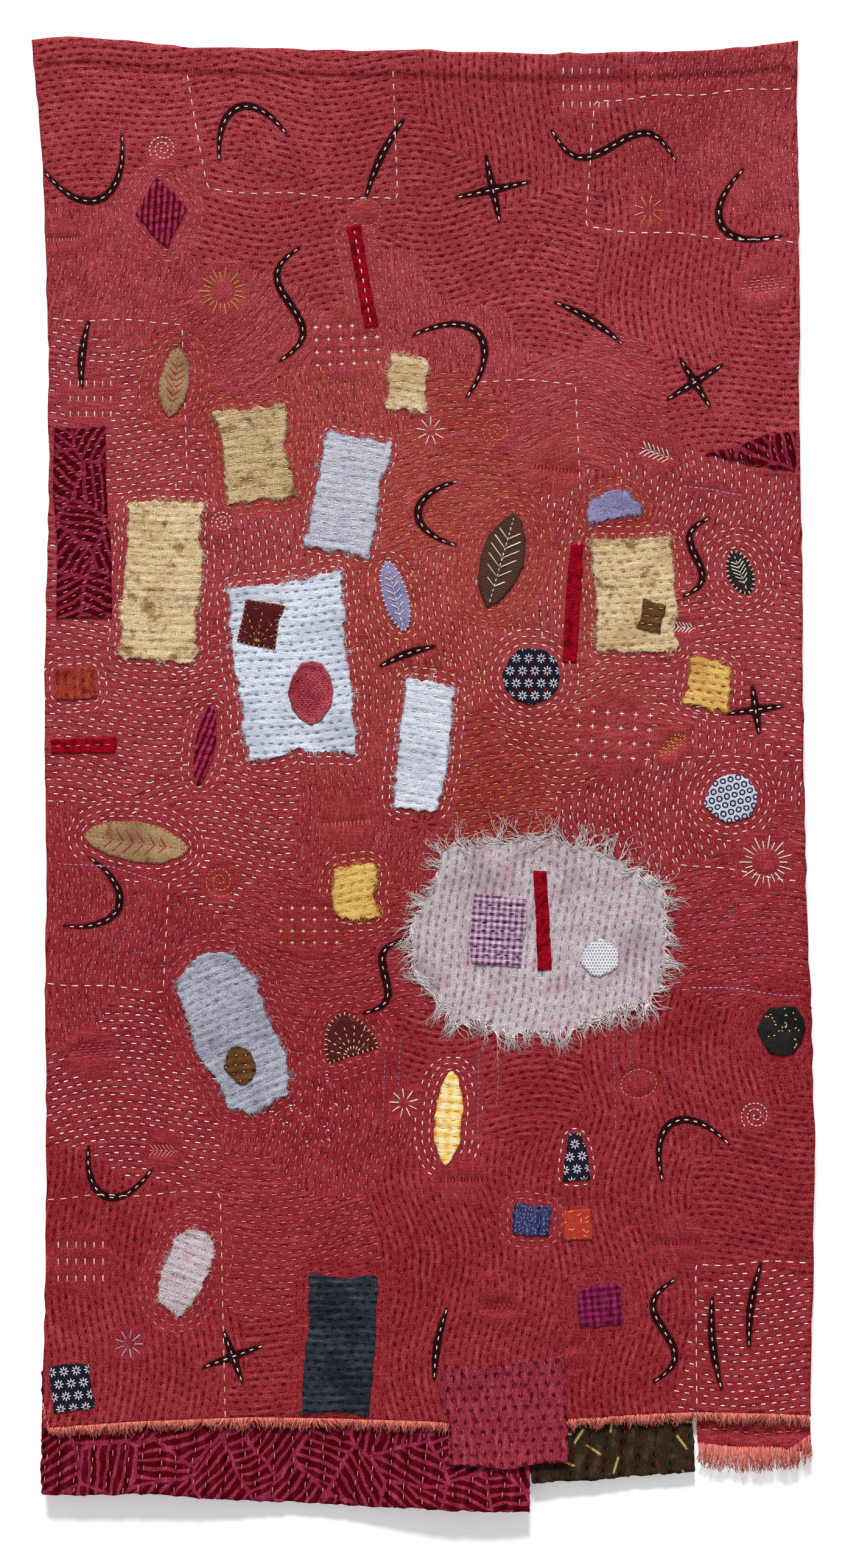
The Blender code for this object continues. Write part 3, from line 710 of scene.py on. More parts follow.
def patchEnds(way, turn, x, z, span, field):
    # the ends of a patch's stitches, by its way of sewing
    def laid(points, lean=0.0, dx=0.0, dz=0.0):
        return turnedLine(points, turn + lean, x + dx, z + dz)

    if field:
        reach = 0.5 * float(np.hypot(*span)) + sewSizes["spare"]
        return rowStitches(field, reach, rowWays[way][2], sewSizes["shake"])
    ends = [np.zeros((0, 4))]
    if way == "midline":
        tip = 0.5 * max(span) - sewSizes["spare"]
        line = [[0, -tip], [0, tip]] if span[1] > span[0] else [[-tip, 0], [tip, 0]]
        ends.append(sewAlong(laid(line), 0.0042, 0.0036))
    elif way == "veins":
        tip, side = 0.5 * span[1] - sewSizes["spare"], 0.5 * span[0] - 0.003
        ends.append(sewAlong(laid([[0, -tip], [0, tip]]), 0.0030, 0.0012))
        for at in np.linspace(-0.62, 0.5, 6) * tip:
            room = side * (1 - (at / tip) ** 2) * 0.85
            ends += [laid([[0, at], [hand * room, at + 0.8 * room]]).reshape(1, 4) for hand in (-1, 1)]
    elif way in ("fan", "leafy"):
        foot = -0.40 * span[1]
        for lean in np.linspace(-60, 60, 7 if way == "fan" else 5):
            tip = np.array([math.sin(math.radians(lean)), math.cos(math.radians(lean))]) * 0.72 * min(span)
            ends.append(sewAlong(laid([[0, foot], [tip[0], foot + tip[1]]]), 0.0030, 0.0022))
    elif way == "cross":
        ends += [laid([[-0.0022, 0], [0.0022, 0]], lean, dx, dz).reshape(1, 4)
                 for lean in (45, -45) for dx in (-0.011, 0.0, 0.011) for dz in (-0.011, 0.0, 0.011)]
    elif way == "dotted":
        spots = np.random.default_rng(9).uniform(-1, 1, (46, 3)) * (0.5 * span[0], 0.5 * span[1], 3.1)
        ends += [laid([[-0.0009, 0], [0.0009, 0]], math.degrees(lean), dx, dz).reshape(1, 4)
                 for dx, dz, lean in spots]
    return np.concatenate(ends)


underTop = np.any([patchOn[node] for node in topPatches], axis=0)
for node, (cloth, turn, way, thread, edge) in patchLooks.items():
    line = patchLines[node]
    x, z = line.mean(0)
    span = np.ptp(turnedLine(line, -turn, 0, 0), axis=0)
    patchFields[node] = patchField(way, turn, x, z, span)
    shown = patchOn[node] if node in topPatches else patchOn[node] & ~underTop
    sew(thread, patchEnds(way, turn, x, z, span, patchFields[node]), blurred(shown.astype(float), 1.3) > 0.9)
    if edge == "whip":  # short overcast stitches across the edge
        step = spaced(line, sewSizes["whip"])
        out = outward(step)
        sew(thread, np.concatenate([step + out * sewSizes["whipOut"], step - out * sewSizes["whipIn"]], 1))

# Stitches on the strips below the hem.
stripSizes = {"gap": 0.0130, "pitch": 0.0084, "stitch": 0.0046, "reach": 0.24, "thick": 0.0009,
              "wander": 0.0005}
stripOn = {node: filled(outlineOf(node)) & ~onMain & ~patchOn["dotted_patch"] for node in stripLooks}
stripFields = {}
for node, (cloth, turn, behind, thread, angle) in stripLooks.items():
    x, z = outlineOf(node).mean(0)
    stripFields[node] = fieldOf(x, z, angle, stripSizes["gap"], stripSizes["pitch"], 0.002, 0.12, 1.0)
    ends = rowStitches(stripFields[node], stripSizes["reach"], stripSizes["stitch"], 0.08)
    sew(thread, ends, blurred(stripOn[node].astype(float), 1.5) > 0.97)
print("stitches in all:", sum(len(ends) for group in stitches.values() for ends in group))


# Relief: each stitch draws the cloth in, the cloth puffs between them, and broad puckers wander across.
reliefSizes = {"pull": 0.0011, "meander": 0.00042, "broad": 0.0009, "creaseDeep": 0.0013,
               "creaseDrop": 0.0205, "creaseWide": 0.0022, "creaseShadeWide": 0.0020, "hem": 0.0004,
               "least": -0.0016, "most": 0.0012}


def orderedLine(points):
    return np.array(sorted(map(tuple, points)))


def lineAt(values, points):
    # the second number of a line's points at the given first numbers
    return np.interp(values, *orderedLine(points).T)


drawn = np.zeros_like(mapX)
for group in stitches.values():
    for ends in group:
        for share in (0.15, 0.5, 0.85):
            spot = ends[:, :2] * (1 - share) + ends[:, 2:] * share
            np.add.at(drawn, cellOf(spot[:, 0], spot[:, 1]), 1.0)
near, wide = blurred(drawn, 1.7), blurred(drawn, 8)
relief = -reliefSizes["pull"] * (near - wide) * 9.0
meander = 0.6 * cloudy(0.018, 0.0052, 11) + 0.4 * cloudy(0.0065, 0.009, 12)
relief += reliefSizes["meander"] * meander * np.clip(0.4 + 12 * wide, 0, 1)
relief += reliefSizes["broad"] * (0.6 * cloudy(0.045, 0.030, 13) + 0.4 * cloudy(0.026, 0.020, 14))
relief = np.clip(blurred(relief, 1.0), reliefSizes["least"], reliefSizes["most"])
# the turned hem along the top, with its crease
fromTop = lineAt(across, mainOutline[mainOutline[:, 1] > -0.02])[None, :] - mapZ
fromCrease = fromTop - reliefSizes["creaseDrop"]
relief -= reliefSizes["creaseDeep"] * np.exp(-(fromCrease / reliefSizes["creaseWide"]) ** 2)
# a band along the crease, for painted shade in the cloth's colour
fold = np.exp(-(fromCrease / reliefSizes["creaseShadeWide"]) ** 2)
relief += reliefSizes["hem"] * ((fromTop > 0) & (fromTop < reliefSizes["creaseDrop"]))
relief = blurred(relief, 0.8)

# Where the front of what shows lies: the red cloth, the patches on it and the strips under it.
clothFace = hang - hangSizes["clothHalf"] - relief
clothBack = hang + 0.8 * hangSizes["clothHalf"] - 0.5 * relief
front = clothFace.copy()
for node in ("red_strip", "brown_strip", "print_strip"):
    front[stripOn[node]] = (hang + stripLooks[node][2] - 0.6 * relief)[stripOn[node]]
front = np.where(patched, clothFace - layerTop, front)
print("relief worked out")


# Materials. A small kit for node trees, then one function for each kind of cloth.
class Wire:
    # an output of a node: arithmetic on it adds math nodes
    def __init__(self, dye, socket):
        self.dye, self.socket = dye, socket

    def __add__(self, other):
        return self.dye.math("ADD", self, other)

    def __sub__(self, other):
        return self.dye.math("SUBTRACT", self, other)

    def __mul__(self, other):
        return self.dye.math("MULTIPLY", self, other)

    def __truediv__(self, other):
        return self.dye.math("DIVIDE", self, other)

    def __pow__(self, other):
        return self.dye.math("POWER", self, other)


class Dye:
    def __init__(self, name, roughness=0.9):
        self.material = bpy.data.materials.new(name)
        self.material.use_nodes = True
        self.tree = self.material.node_tree
        self.shader = self.tree.nodes["Principled BSDF"]
        self.set("Roughness", roughness)
        self.set("Specular IOR Level", 0.02)

    def set(self, key, value, node=None):
        # links a wire to an input, or sets the input's constant
        socket = (node or self.shader).inputs[key]
        if isinstance(value, Wire):
            self.tree.links.new(value.socket, socket)
        else:
            socket.default_value = (*value, 1) if socket.type == "RGBA" else value

    def node(self, kind, inputs=(), **settings):
        made = self.tree.nodes.new(kind)
        for key, value in settings.items():
            setattr(made, key, value)
        for key, value in dict(inputs).items():
            self.set(key, value, made)
        return made

    def wire(self, kind, inputs=(), output=0, **settings):
        return Wire(self, self.node(kind, inputs, **settings).outputs[output])

    def math(self, operation, a, b=0.0, clamp=False):
        return self.wire("ShaderNodeMath", {0: a, 1: b}, operation=operation, use_clamp=clamp)

    def sine(self, a):
        return self.math("SINE", a)

    def cosine(self, a):
        return self.math("COSINE", a)

    def less(self, a):
        # one less a, and no less than nothing
        return self.math("SUBTRACT", 1.0, a, True)

    def vector(self, operation, a, b):
        return self.wire("ShaderNodeVectorMath", {0: a, 1: b}, operation=operation)

    def mix(self, share, a, b, blend="MIX"):
        return self.wire("ShaderNodeMix", {0: share, 6: a, 7: b}, 2, data_type="RGBA", blend_type=blend)

    def gamma(self, colour, power):
        return self.wire("ShaderNodeGamma", {"Color": colour, "Gamma": power})

    def uv(self, layer="cloth"):
        return self.wire("ShaderNodeUVMap", uv_map=layer)

    def attribute(self, name):
        return self.wire("ShaderNodeAttribute", output="Fac", attribute_name=name)

    def split(self, vector):
        made = self.node("ShaderNodeSeparateXYZ", {0: vector})
        return [Wire(self, socket) for socket in made.outputs]

    def join(self, x, y):
        return self.wire("ShaderNodeCombineXYZ", {0: x, 1: y})

    def scaled(self, vector, scale, turn=0.0):
        inputs = {"Vector": vector, "Scale": scale, "Rotation": (0, 0, math.radians(turn))}
        return self.wire("ShaderNodeMapping", inputs)

    def noise(self, vector, scale, detail=2.0, rough=0.5, output=0):
        inputs = {"Vector": vector, "Scale": scale, "Detail": detail, "Roughness": rough}
        return self.wire("ShaderNodeTexNoise", inputs, output)

    def bent(self, vector, scale, reach):
        # the vector moved a little, another way from place to place
        move = self.vector("MULTIPLY", self.noise(vector, scale, output=1), (reach, reach, 0))
        return self.vector("ADD", vector, move)

    def range(self, value, low, high, most=1.0, least=0.0):
        # a soft step from least, at low, to most, at high
        return self.wire("ShaderNodeMapRange", {0: value, 1: low, 2: high, 3: least, 4: most},
                         interpolation_type="SMOOTHSTEP")

    def bump(self, height, distance, **under):
        # under: the bump that this one lies on, as Normal
        return self.wire("ShaderNodeBump", {"Height": height, "Distance": distance, **under})

    def done(self, colour, normal):
        self.set("Base Color", colour)
        self.set("Normal", normal)
        return self.material


roomLight = 1.24  # how much brighter than its own colour a cloth looks in this room


def tone(red, green, blue):
    # a colour as seen on screen, 0 to 255, to the linear colour that a shader takes
    linear = (c / 255 / 12.92 if c <= 10 else ((c / 255 + 0.055) / 1.055) ** 2.4 for c in (red, green, blue))
    return tuple(c / roomLight for c in linear)


def tonesOf(values):
    return [tone(*value) if isinstance(value, tuple) else value for value in values]


weaveSizes = {"thread": 0.00105, "bend": 0.0024, "bump": 0.17, "slub": 0.16, "unit": 0.001}
quiltSizes = {"deep": 0.0011, "bowl": (0.42, 0.27), "slot": (0.27, 0.07)}


def weave(dye, base, light, dark, slub=1.0, thread=None):
    # plain weave in the cloth's own coordinates: returns the colour, with painted shade in the threads' low
    # places and a painted highlight on their crests, and the height of the threads
    turns = twoPi / (thread or weaveSizes["thread"])
    cloth = dye.uv()
    x, y, _ = dye.split(dye.bent(cloth, 180, weaveSizes["bend"]))
    threads = dye.sine(x * turns) * 0.08 + dye.sine(y * turns) * 0.15
    # each thread stands up one step further along than in the row above, so a fine slant shows
    threads = threads + dye.sine((x + y) * turns) * 0.20
    # the threads show more in some places than in others
    threads = threads * dye.range(dye.noise(cloth, 210, 3, 0.6), 0.34, 0.66, 1.25, 0.25) + 0.5
    # slubs: thick stretches of weft, longer than they are tall, and fainter ones in the warp
    weft = dye.noise(dye.scaled(cloth, (70, 1000, 1)), 1.0, 3, 0.6)
    warp = dye.noise(dye.scaled(cloth, (1000, 90, 1)), 1.0, 2, 0.5)
    grain = dye.noise(dye.scaled(cloth, (950, 2200, 1)), 1.0, 1, 0.6)
    mottle = dye.noise(cloth, 34, 4, 0.6)
    shade = base
    for value, low, high, share, towards in (
        (mottle, 0.60, 0.38, 0.45, dark), (mottle, 0.50, 0.68, 0.30, light),
        (grain, 0.51, 0.40, 1.0, dark), (grain, 0.49, 0.60, 1.0, light),
        # the weft's slubs also stand up in the bump: lighter where high and darker where low, partly their
        # own tone, partly painted highlight and shade
        (weft, 0.50, 0.70, 0.50 * slub, light), (weft, 0.46, 0.30, 0.45 * slub, dark),
        (warp, 0.55, 0.72, 0.26 * slub, light), (warp, 0.45, 0.30, 0.26 * slub, dark),
        # painted shade in the low places between threads and a painted highlight on their crests
        (threads, 0.50, 0.10, 0.70, dark), (threads, 0.55, 0.92, 0.55, light),
    ):
        shade = dye.mix(dye.range(value, low, high, share), shade, towards)
    return shade, threads * weaveSizes["bump"] + weft * weaveSizes["slub"]


def quilting(dye):
    # the draw of each stitch: a bowl round it, a slot under the thread, and wrinkles along the
    # rows; returns the slot and the height
    u, v, _ = dye.split(dye.uv("rows"))
    row = dye.math("ROUND", v)
    dv = v - row
    shift = row * rowShift["half"] + dye.sine(row * rowShift["beat"]) * rowShift["swing"]
    du = dye.math("FRACT", u + shift) - 0.5

    def oval(long, tall):
        return dye.less((du / long) ** 2.0 + (dv / tall) ** 2.0)

    def rowNoise(along, over, detail, rough=0.5):
        return dye.noise(dye.join(u * along, v * over), 1.0, detail, rough)

    # some stitches draw in much more than others
    bowl = oval(*quiltSizes["bowl"]) ** 1.5 * dye.range(rowNoise(0.9, 0.9, 1), 0.32, 0.66, 1.30, 0.35)
    # each row lies in a furrow, deep in some places and shallow in others
    furrow = dye.cosine(dv * twoPi) * dye.range(rowNoise(0.30, 0.5, 2), 0.35, 0.65, 0.17)
    # where other stitching has cleared the rows, only the wrinkles stay
    sewnHere = dye.less(dye.attribute("calm"))
    slot = oval(*quiltSizes["slot"]) * sewnHere
    height = dye.noise(dye.uv(), 420, 2) * 0.34 - (bowl * 0.23 + furrow) * sewnHere - slot * 0.20
    return slot, height + rowNoise(0.62, 2.1, 4, 0.62) * 1.1


def paintShadeAndBump(dye, shade, threads, dip=0.6, deep=1.65):
    # painted shade: low places of the quilting are darker and deeper in colour; painted highlight: high ones
    # are paler; the slot under each thread gets more painted shade; then the bumps are stacked
    slot, height = quilting(dye)
    shadedColour = dye.mix(dye.range(height, 0.70, 0.25, 0.80), shade, dye.gamma(shade, deep))
    shadedColour = dye.mix(dye.range(height, 0.70, 1.00, 0.75), shadedColour, dye.gamma(shade, 0.74))
    shadedColour = dye.mix(slot * dip, shadedColour, dye.gamma(shade, 1.4 * deep))
    return dye.done(shadedColour, dye.bump(threads, weaveSizes["unit"], Normal=dye.bump(height, quiltSizes["deep"])))


redTones = tonesOf([(144, 38, 46), (188, 85, 92), (101, 5, 11)])  # rose, light and deep
inkTone = tone(20, 5, 8)
# tints that multiply the red, so that the weave keeps its contrast
redTints = {"wine": (0.74, 0.42, 0.47), "warm": (1.09, 1.52, 0.80)}


def redLinen(name, inked):
    dye = Dye(name)
    shade, threads = weave(dye, *redTones)
    broad = dye.range(dye.noise(dye.uv(), 7, 3, 0.55), 0.42, 0.66, 0.40)
    lower = dye.range(dye.split(dye.uv())[1], -0.40, -0.72, 0.72)
    for share in (broad, lower):
        shade = dye.mix(share, shade, redTints["wine"], "MULTIPLY")
    if inked:
        shade = dye.mix(dye.attribute("warm") * 0.45, shade, redTints["warm"], "MULTIPLY")
        # painted shade along the top crease
        shade = dye.mix(dye.attribute("fold") * 0.75, shade, dye.gamma(shade, 1.7))
        blot = dye.attribute("ink") + (dye.noise(dye.uv(), 900, 3, 0.7) - 0.5) * 0.0022
        shade = dye.mix(dye.range(blot, 0.0006, -0.0010, 0.96), shade, inkTone)
    return paintShadeAndBump(dye, shade, threads)


def plainCloth(name, base, light, dark, slub=0.8, thread=None, stain=None, deep=1.7):
    dye = Dye(name, 0.92)
    shade, threads = weave(dye, base, light, dark, slub, thread)
    shade = dye.mix(dye.range(dye.noise(dye.uv(), 19, 3, 0.6), 0.48, 0.68, 0.60), shade, dark)
    if stain:
        shade = dye.mix(dye.range(dye.noise(dye.uv(), 58, 4, 0.65), 0.52, 0.66, 0.90), shade, stain)
    # deep sets how dark the painted shade in the cloth's low places goes
    return paintShadeAndBump(dye, shade, threads, 0.6 if deep < 1.6 else 0.12, deep)


def hatchPrint(name, base, light, dark, stripe, black, pitch=0.0070):
    # blocks of stripes that change direction from block to block, with a pale line between blocks
    dye = Dye(name, 0.85)
    moved = dye.bent(dye.uv(), 30, 0.012)
    blocks = {"Vector": moved, "Scale": 27.0}
    turn = dye.split(dye.wire("ShaderNodeTexVoronoi", blocks, "Color", voronoi_dimensions="2D"))[0] * twoPi
    edge = dye.wire("ShaderNodeTexVoronoi", blocks, "Distance", voronoi_dimensions="2D",
                    feature="DISTANCE_TO_EDGE")
    x, y, _ = dye.split(moved)
    band = dye.sine((x * dye.cosine(turn) + y * dye.sine(turn)) * (twoPi / pitch))
    band = band + (dye.noise(dye.uv(), 420, 2) - 0.5) * 0.9
    ground, threads = weave(dye, base, light, dark, 0.4)
    shade = dye.mix(dye.range(band, 0.52, 0.28), ground, stripe)
    shade = dye.mix(dye.range(edge, 0.050, 0.025), shade, ground)
    shade = dye.mix(dye.range(dye.noise(dye.uv(), 9.0, 1, 0.4), 0.675, 0.685), shade, black)
    return paintShadeAndBump(dye, shade, threads, 0.5)


def flowerMask(dye, far, du, dv):
    # eight petals round an eye
    rim = dye.cosine(dye.math("ARCTAN2", dv, du) * 8.0) * 0.17 + 0.25
    return dye.range(rim - far, 0.0, 0.04) * dye.range(far, 0.10, 0.14)


def ringMask(dye, far, du, dv):
    return dye.range(far, 0.44, 0.38) * dye.range(far, 0.18, 0.24)


def dotMask(dye, far, du, dv):
    return dye.range(far + (dye.noise(dye.uv(), 300, 2) - 0.5) * 0.25, 0.27, 0.17, 0.85)


def netMask(dye, far, du, dv):
    return dye.range(far, 0.40, 0.30)


def spotPrint(name, mask, base, light, dark, spot, slub, pitch, jitter=0.0, roughness=0.88, dip=0.3):
    # spots on a grid, every other row moved half a step
    dye = Dye(name, roughness)
    ground, threads = weave(dye, base, light, dark, slub)
    x, y, _ = dye.split(dye.uv())
    v = y / pitch
    du = dye.math("FRACT", x / pitch + dye.math("FLOOR", v) * 0.5) - 0.5
    dv = dye.math("FRACT", v) - 0.5
    if jitter:
        dv = dv + (dye.noise(dye.uv(), 150, 1) - 0.5) * jitter
    far = dye.math("SQRT", du * du + dv * dv)
    return paintShadeAndBump(dye, dye.mix(mask(dye, far, du, dv), ground, spot), threads, dip)


def checks(name, base, one, two, pitch):
    # two crossing sets of bands, as woven checks are
    dye = Dye(name, 0.88)
    ground, threads = weave(dye, base, base, tuple(c * 0.7 for c in base), 0.3)
    x, y, _ = dye.split(dye.uv())
    bandX, bandY = (dye.range(dye.sine(at * (twoPi / pitch)), -0.15, 0.15) for at in (x, y))
    shade = dye.mix(bandX * 0.55, ground, one)
    shade = dye.mix(bandY * 0.55, shade, two)
    return paintShadeAndBump(dye, dye.mix(bandX * bandY * 0.6, shade, two), threads, 0.5)


def stripes(name, base, line, pitch, turn):
    dye = Dye(name, 0.86)
    ground, threads = weave(dye, base, base, tuple(c * 0.6 for c in base), 0.3)
    x = dye.split(dye.scaled(dye.uv(), (1, 1, 1), turn))[0]
    band = dye.sine(x * (twoPi / pitch) + dye.noise(dye.uv(), 120, 2) * 3.0)
    return paintShadeAndBump(dye, dye.mix(dye.range(band, -0.1, 0.2), ground, line), threads, 0.3)


def marksPrint(name, base, light, dark, mark, pitch, share=0.5):
    # scattered short strokes
    dye = Dye(name, 0.88)
    ground, threads = weave(dye, base, light, dark, 0.6)
    perPitch = (1 / pitch, 1 / pitch, 0)
    cells = dye.node("ShaderNodeTexVoronoi", {"Vector": dye.uv(), "Scale": 1 / pitch, "Randomness": 0.85},
                     voronoi_dimensions="2D")
    middle = dye.vector("MULTIPLY", Wire(dye, cells.outputs["Position"]), perPitch)
    x, y, _ = dye.split(dye.vector("SUBTRACT", dye.vector("MULTIPLY", dye.uv(), perPitch), middle))
    pick, keep, _ = dye.split(Wire(dye, cells.outputs["Color"]))
    c, s = dye.cosine(pick * math.pi), dye.sine(pick * math.pi)
    stroke = dye.range(dye.math("ABSOLUTE", x * c + y * s), 0.32, 0.24)
    stroke = stroke * dye.range(dye.math("ABSOLUTE", y * c - x * s), 0.050, 0.025)
    stroke = stroke * dye.math("LESS_THAN", keep, share)
    return paintShadeAndBump(dye, dye.mix(stroke, ground, mark), threads, 0.3)


def velvet(name, deep, light, dark, sheen):
    dye = Dye(name, 0.75)
    dye.set("Sheen Weight", 0.6)
    dye.set("Sheen Roughness", 0.4)
    dye.set("Sheen Tint", sheen)
    brushed = dye.noise(dye.scaled(dye.uv(), (260, 900, 1)), 1.0, 3, 0.6)
    # lighter where the brushed pile stands high in the bump: painted highlight, and deeper where it lies low:
    # painted shade
    shade = dye.mix(dye.range(brushed, 0.3, 0.7), deep, light)
    shade = dye.mix(dye.range(dye.noise(dye.uv(), 130, 2), 0.48, 0.64, 0.7), shade, dark)
    return paintShadeAndBump(dye, shade, brushed, 0.3)


def threadDye(name, base, dark):
    # plied thread: lighter and darker from stitch to stitch, with a fine twist whose low places get painted
    # shade
    dye = Dye(name, 0.7)
    twist = dye.noise(dye.wire("ShaderNodeTexCoord", output="Object"), 2600, 2)
    shade = dye.mix(dye.attribute("shade"), tone(*dark), tone(*base))
    shade = dye.mix(dye.range(twist, 0.6, 0.35, 0.35), shade, tone(*dark))
    return dye.done(shade, dye.bump(twist, 0.00025))


clothRows = {
    # cloth: the function that makes it and what that takes, with colours as seen on screen
    "redMain": (redLinen, True),
    "redPlain": (redLinen, False),
    "hatchPrint": (hatchPrint, (128, 28, 54), (154, 50, 76), (92, 10, 32), (70, 2, 10), (14, 10, 14)),
    "brownMarks": (marksPrint, (44, 32, 21), (60, 47, 33), (28, 18, 11), (164, 142, 74), 0.024, 0.85),
    "cream": (plainCloth, (206, 180, 142), (234, 214, 178), (166, 130, 88), 0.8, None, (168, 128, 80)),
    "creamStained": (plainCloth, (208, 182, 142), (236, 218, 180), (168, 130, 86), 0.8, None, (130, 86, 44)),
    "tan": (plainCloth, (184, 156, 114), (220, 198, 158), (136, 102, 62), 0.8, None, (112, 78, 42)),
    "khaki": (plainCloth, (154, 122, 84), (190, 162, 120), (110, 80, 48), 0.8, None, (104, 70, 40)),
    "mist": (plainCloth, (178, 178, 192), (216, 216, 226), (136, 134, 152), 1.0),
    "paleBlue": (plainCloth, (202, 207, 220), (232, 235, 243), (160, 166, 184), 0.6),
    "grey": (plainCloth, (178, 167, 172), (218, 210, 214), (140, 112, 120), 1.0, 0.0011, (180, 146, 154)),
    "blueGrey": (plainCloth, (156, 158, 172), (198, 200, 210), (110, 108, 124), 1.0, 0.0011),
    "lilac": (plainCloth, (134, 126, 168), (172, 168, 200), (92, 84, 128)),
    "yellow": (plainCloth, (214, 168, 84), (240, 206, 128), (170, 120, 44)),
    "yellowCheck": (checks, (244, 226, 176), (230, 190, 96), (226, 176, 70), 0.0090),
    "velvet": (velvet, (104, 2, 16), (166, 10, 32), (74, 0, 10), (230, 60, 80)),
    "plumStripe": (stripes, (84, 10, 30), (150, 40, 68), 0.0048, 12),
    "maroon": (marksPrint, (72, 22, 26), (98, 40, 42), (46, 12, 16), (122, 66, 50), 0.008, 0.7),
    "rose": (plainCloth, (176, 62, 76), (206, 104, 114), (128, 26, 40), 0.8, None, None, 1.5),
    "russet": (plainCloth, (150, 46, 36), (178, 76, 56), (108, 22, 20), 0.8, None, (92, 14, 20), 1.5),
    "darkBrown": (stripes, (58, 40, 36), (92, 62, 48), 0.0016, 62),
    "black": (plainCloth, (34, 31, 30), (56, 52, 48), (16, 14, 14), 0.8, None, None, 1.5),
    "flowerPrint": (spotPrint, flowerMask, (20, 19, 30), (46, 44, 60), (8, 8, 14), (206, 204, 214),
                    0.5, 0.0098),
    "ringPrint": (spotPrint, ringMask, (196, 198, 214), (214, 216, 228), (160, 162, 186), (22, 24, 52),
                  0.4, 0.0062, 0.35),
    "gingham": (checks, (222, 178, 204), (96, 70, 112), (62, 44, 74), 0.0048),
    "lace": (spotPrint, netMask, (232, 230, 236), (244, 243, 246), (196, 194, 204), (140, 136, 146),
             0.4, 0.0024, 0.0, 0.85),
    "brown": (plainCloth, (92, 56, 34), (128, 84, 50), (56, 30, 18), 0.8, None, None, 1.5),
    "navyPrint": (marksPrint, (44, 48, 92), (64, 68, 114), (28, 30, 64), (190, 194, 214), 0.0030, 0.9),
    "goldPrint": (marksPrint, (176, 48, 38), (196, 76, 58), (140, 30, 28), (222, 190, 110), 0.0058, 0.8),
    "plaid": (checks, (146, 34, 82), (84, 16, 46), (58, 10, 34), 0.0052),
    "charcoal": (plainCloth, (38, 42, 50), (60, 66, 76), (20, 22, 30), 0.8, None, None, 1.5),
    "dottedPrint": (spotPrint, dotMask, (134, 36, 52), (164, 62, 78), (98, 12, 26), (72, 8, 24),
                    0.7, 0.0088, 0.7, 0.85, 0.5),
}
cloths = {name: make(name, *tonesOf(values)) for name, (make, *values) in clothRows.items()}
threads = {
    # thread: light, dark, width in metres, a slot name
    "crimson": ((158, 20, 36), (84, 3, 12), 0.00078, "red_linen"),
    "pink": ((226, 140, 142), (190, 96, 102), 0.00075, "salmon_fringe"),
    "white": ((240, 230, 220), (206, 188, 176), 0.00090, "cream_cloth"),
    "cream": ((236, 214, 170), (204, 172, 118), 0.00085, "cream_cloth"),
    "yellow": ((224, 180, 84), (180, 124, 50), 0.00075, "yellow_cloth"),
    "lilac": ((186, 180, 214), (138, 130, 176), 0.00080, "lilac_cloth"),
    "slate": ((142, 146, 168), (98, 102, 126), 0.00058, "mist_cloth"),
    "rose": ((206, 84, 98), (160, 48, 64), 0.00080, "rose_thread"),
    "plum": ((150, 40, 72), (96, 12, 36), 0.00075, "plum_print"),
    "tan": ((206, 166, 104), (150, 108, 58), 0.00080, "tan_cloth"),
    "salmon": ((226, 122, 104), (190, 84, 70), 0.00080, "salmon_fringe"),
    "black": ((44, 40, 48), (20, 18, 24), 0.00080, "black_cloth"),
}
print("materials made:", len(cloths) + len(threads))


# Meshes: cloths cut from their outlines, then draped on the maps.
def addUv(mesh, layer, u, v):
    # u and v are for each corner of each face
    mesh.uv_layers.new(name=layer).data.foreach_set("uv", pairs(u, v).ravel())


def addValues(mesh, name, values):
    mesh.attributes.new(name, "FLOAT", "POINT").data.foreach_set("value", values)


def meshFrom(shape, name):
    mesh = bpy.data.meshes.new(name)
    shape.to_mesh(mesh)
    shape.free()
    return mesh


def addObject(name, mesh, material):
    mesh.shade_smooth()
    mesh.materials.append(material)
    made = bpy.data.objects.new(name, mesh)
    bpy.context.scene.collection.objects.link(made)
    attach(made, "root")
    return made


def cut(shape, place, normal, near):
    bmesh.ops.bisect_plane(shape, geom=shape.verts[:] + shape.edges[:] + shape.faces[:],
                           plane_co=place, plane_no=normal, dist=near)


def clothMesh(name, line, cell, thick, surface, lift):
    # the outline as one face, cut on a grid, given its thickness, then moved onto the hang
    shape = bmesh.new()
    shape.faces.new([shape.verts.new((x, 0, z)) for x, z in line])
    low, high = line.min(0), line.max(0)
    for at in np.arange(low[0] + 0.6 * cell, high[0], cell):
        cut(shape, (at, 0, 0), (1, 0, 0), 0.00001)
    for at in np.arange(low[1] + 0.6 * cell, high[1], cell):
        cut(shape, (0, 0, at), (0, 0, 1), 0.00001)
    bmesh.ops.remove_doubles(shape, verts=shape.verts, dist=0.00012)
    if sum(face.normal.y for face in shape.faces) > 0:
        bmesh.ops.reverse_faces(shape, faces=shape.faces)
    grown = bmesh.ops.extrude_face_region(shape, geom=shape.faces[:])
    backs = {part for part in grown["geom"] if isinstance(part, bmesh.types.BMVert)}
    bmesh.ops.translate(shape, verts=list(backs), vec=(0, thick, 0))
    bmesh.ops.recalc_face_normals(shape, faces=shape.faces)
    shape.verts.ensure_lookup_table()
    atBack = np.array([vert in backs for vert in shape.verts])
    mesh = meshFrom(shape, name)
    places = numbersOf(mesh.vertices, "co", 3)
    places[:, 1] = readMap(surface, places[:, 0], places[:, 2]) - lift + np.where(atBack, thick, 0.0)
    mesh.vertices.foreach_set("co", places.ravel())
    mesh.update()
    return mesh


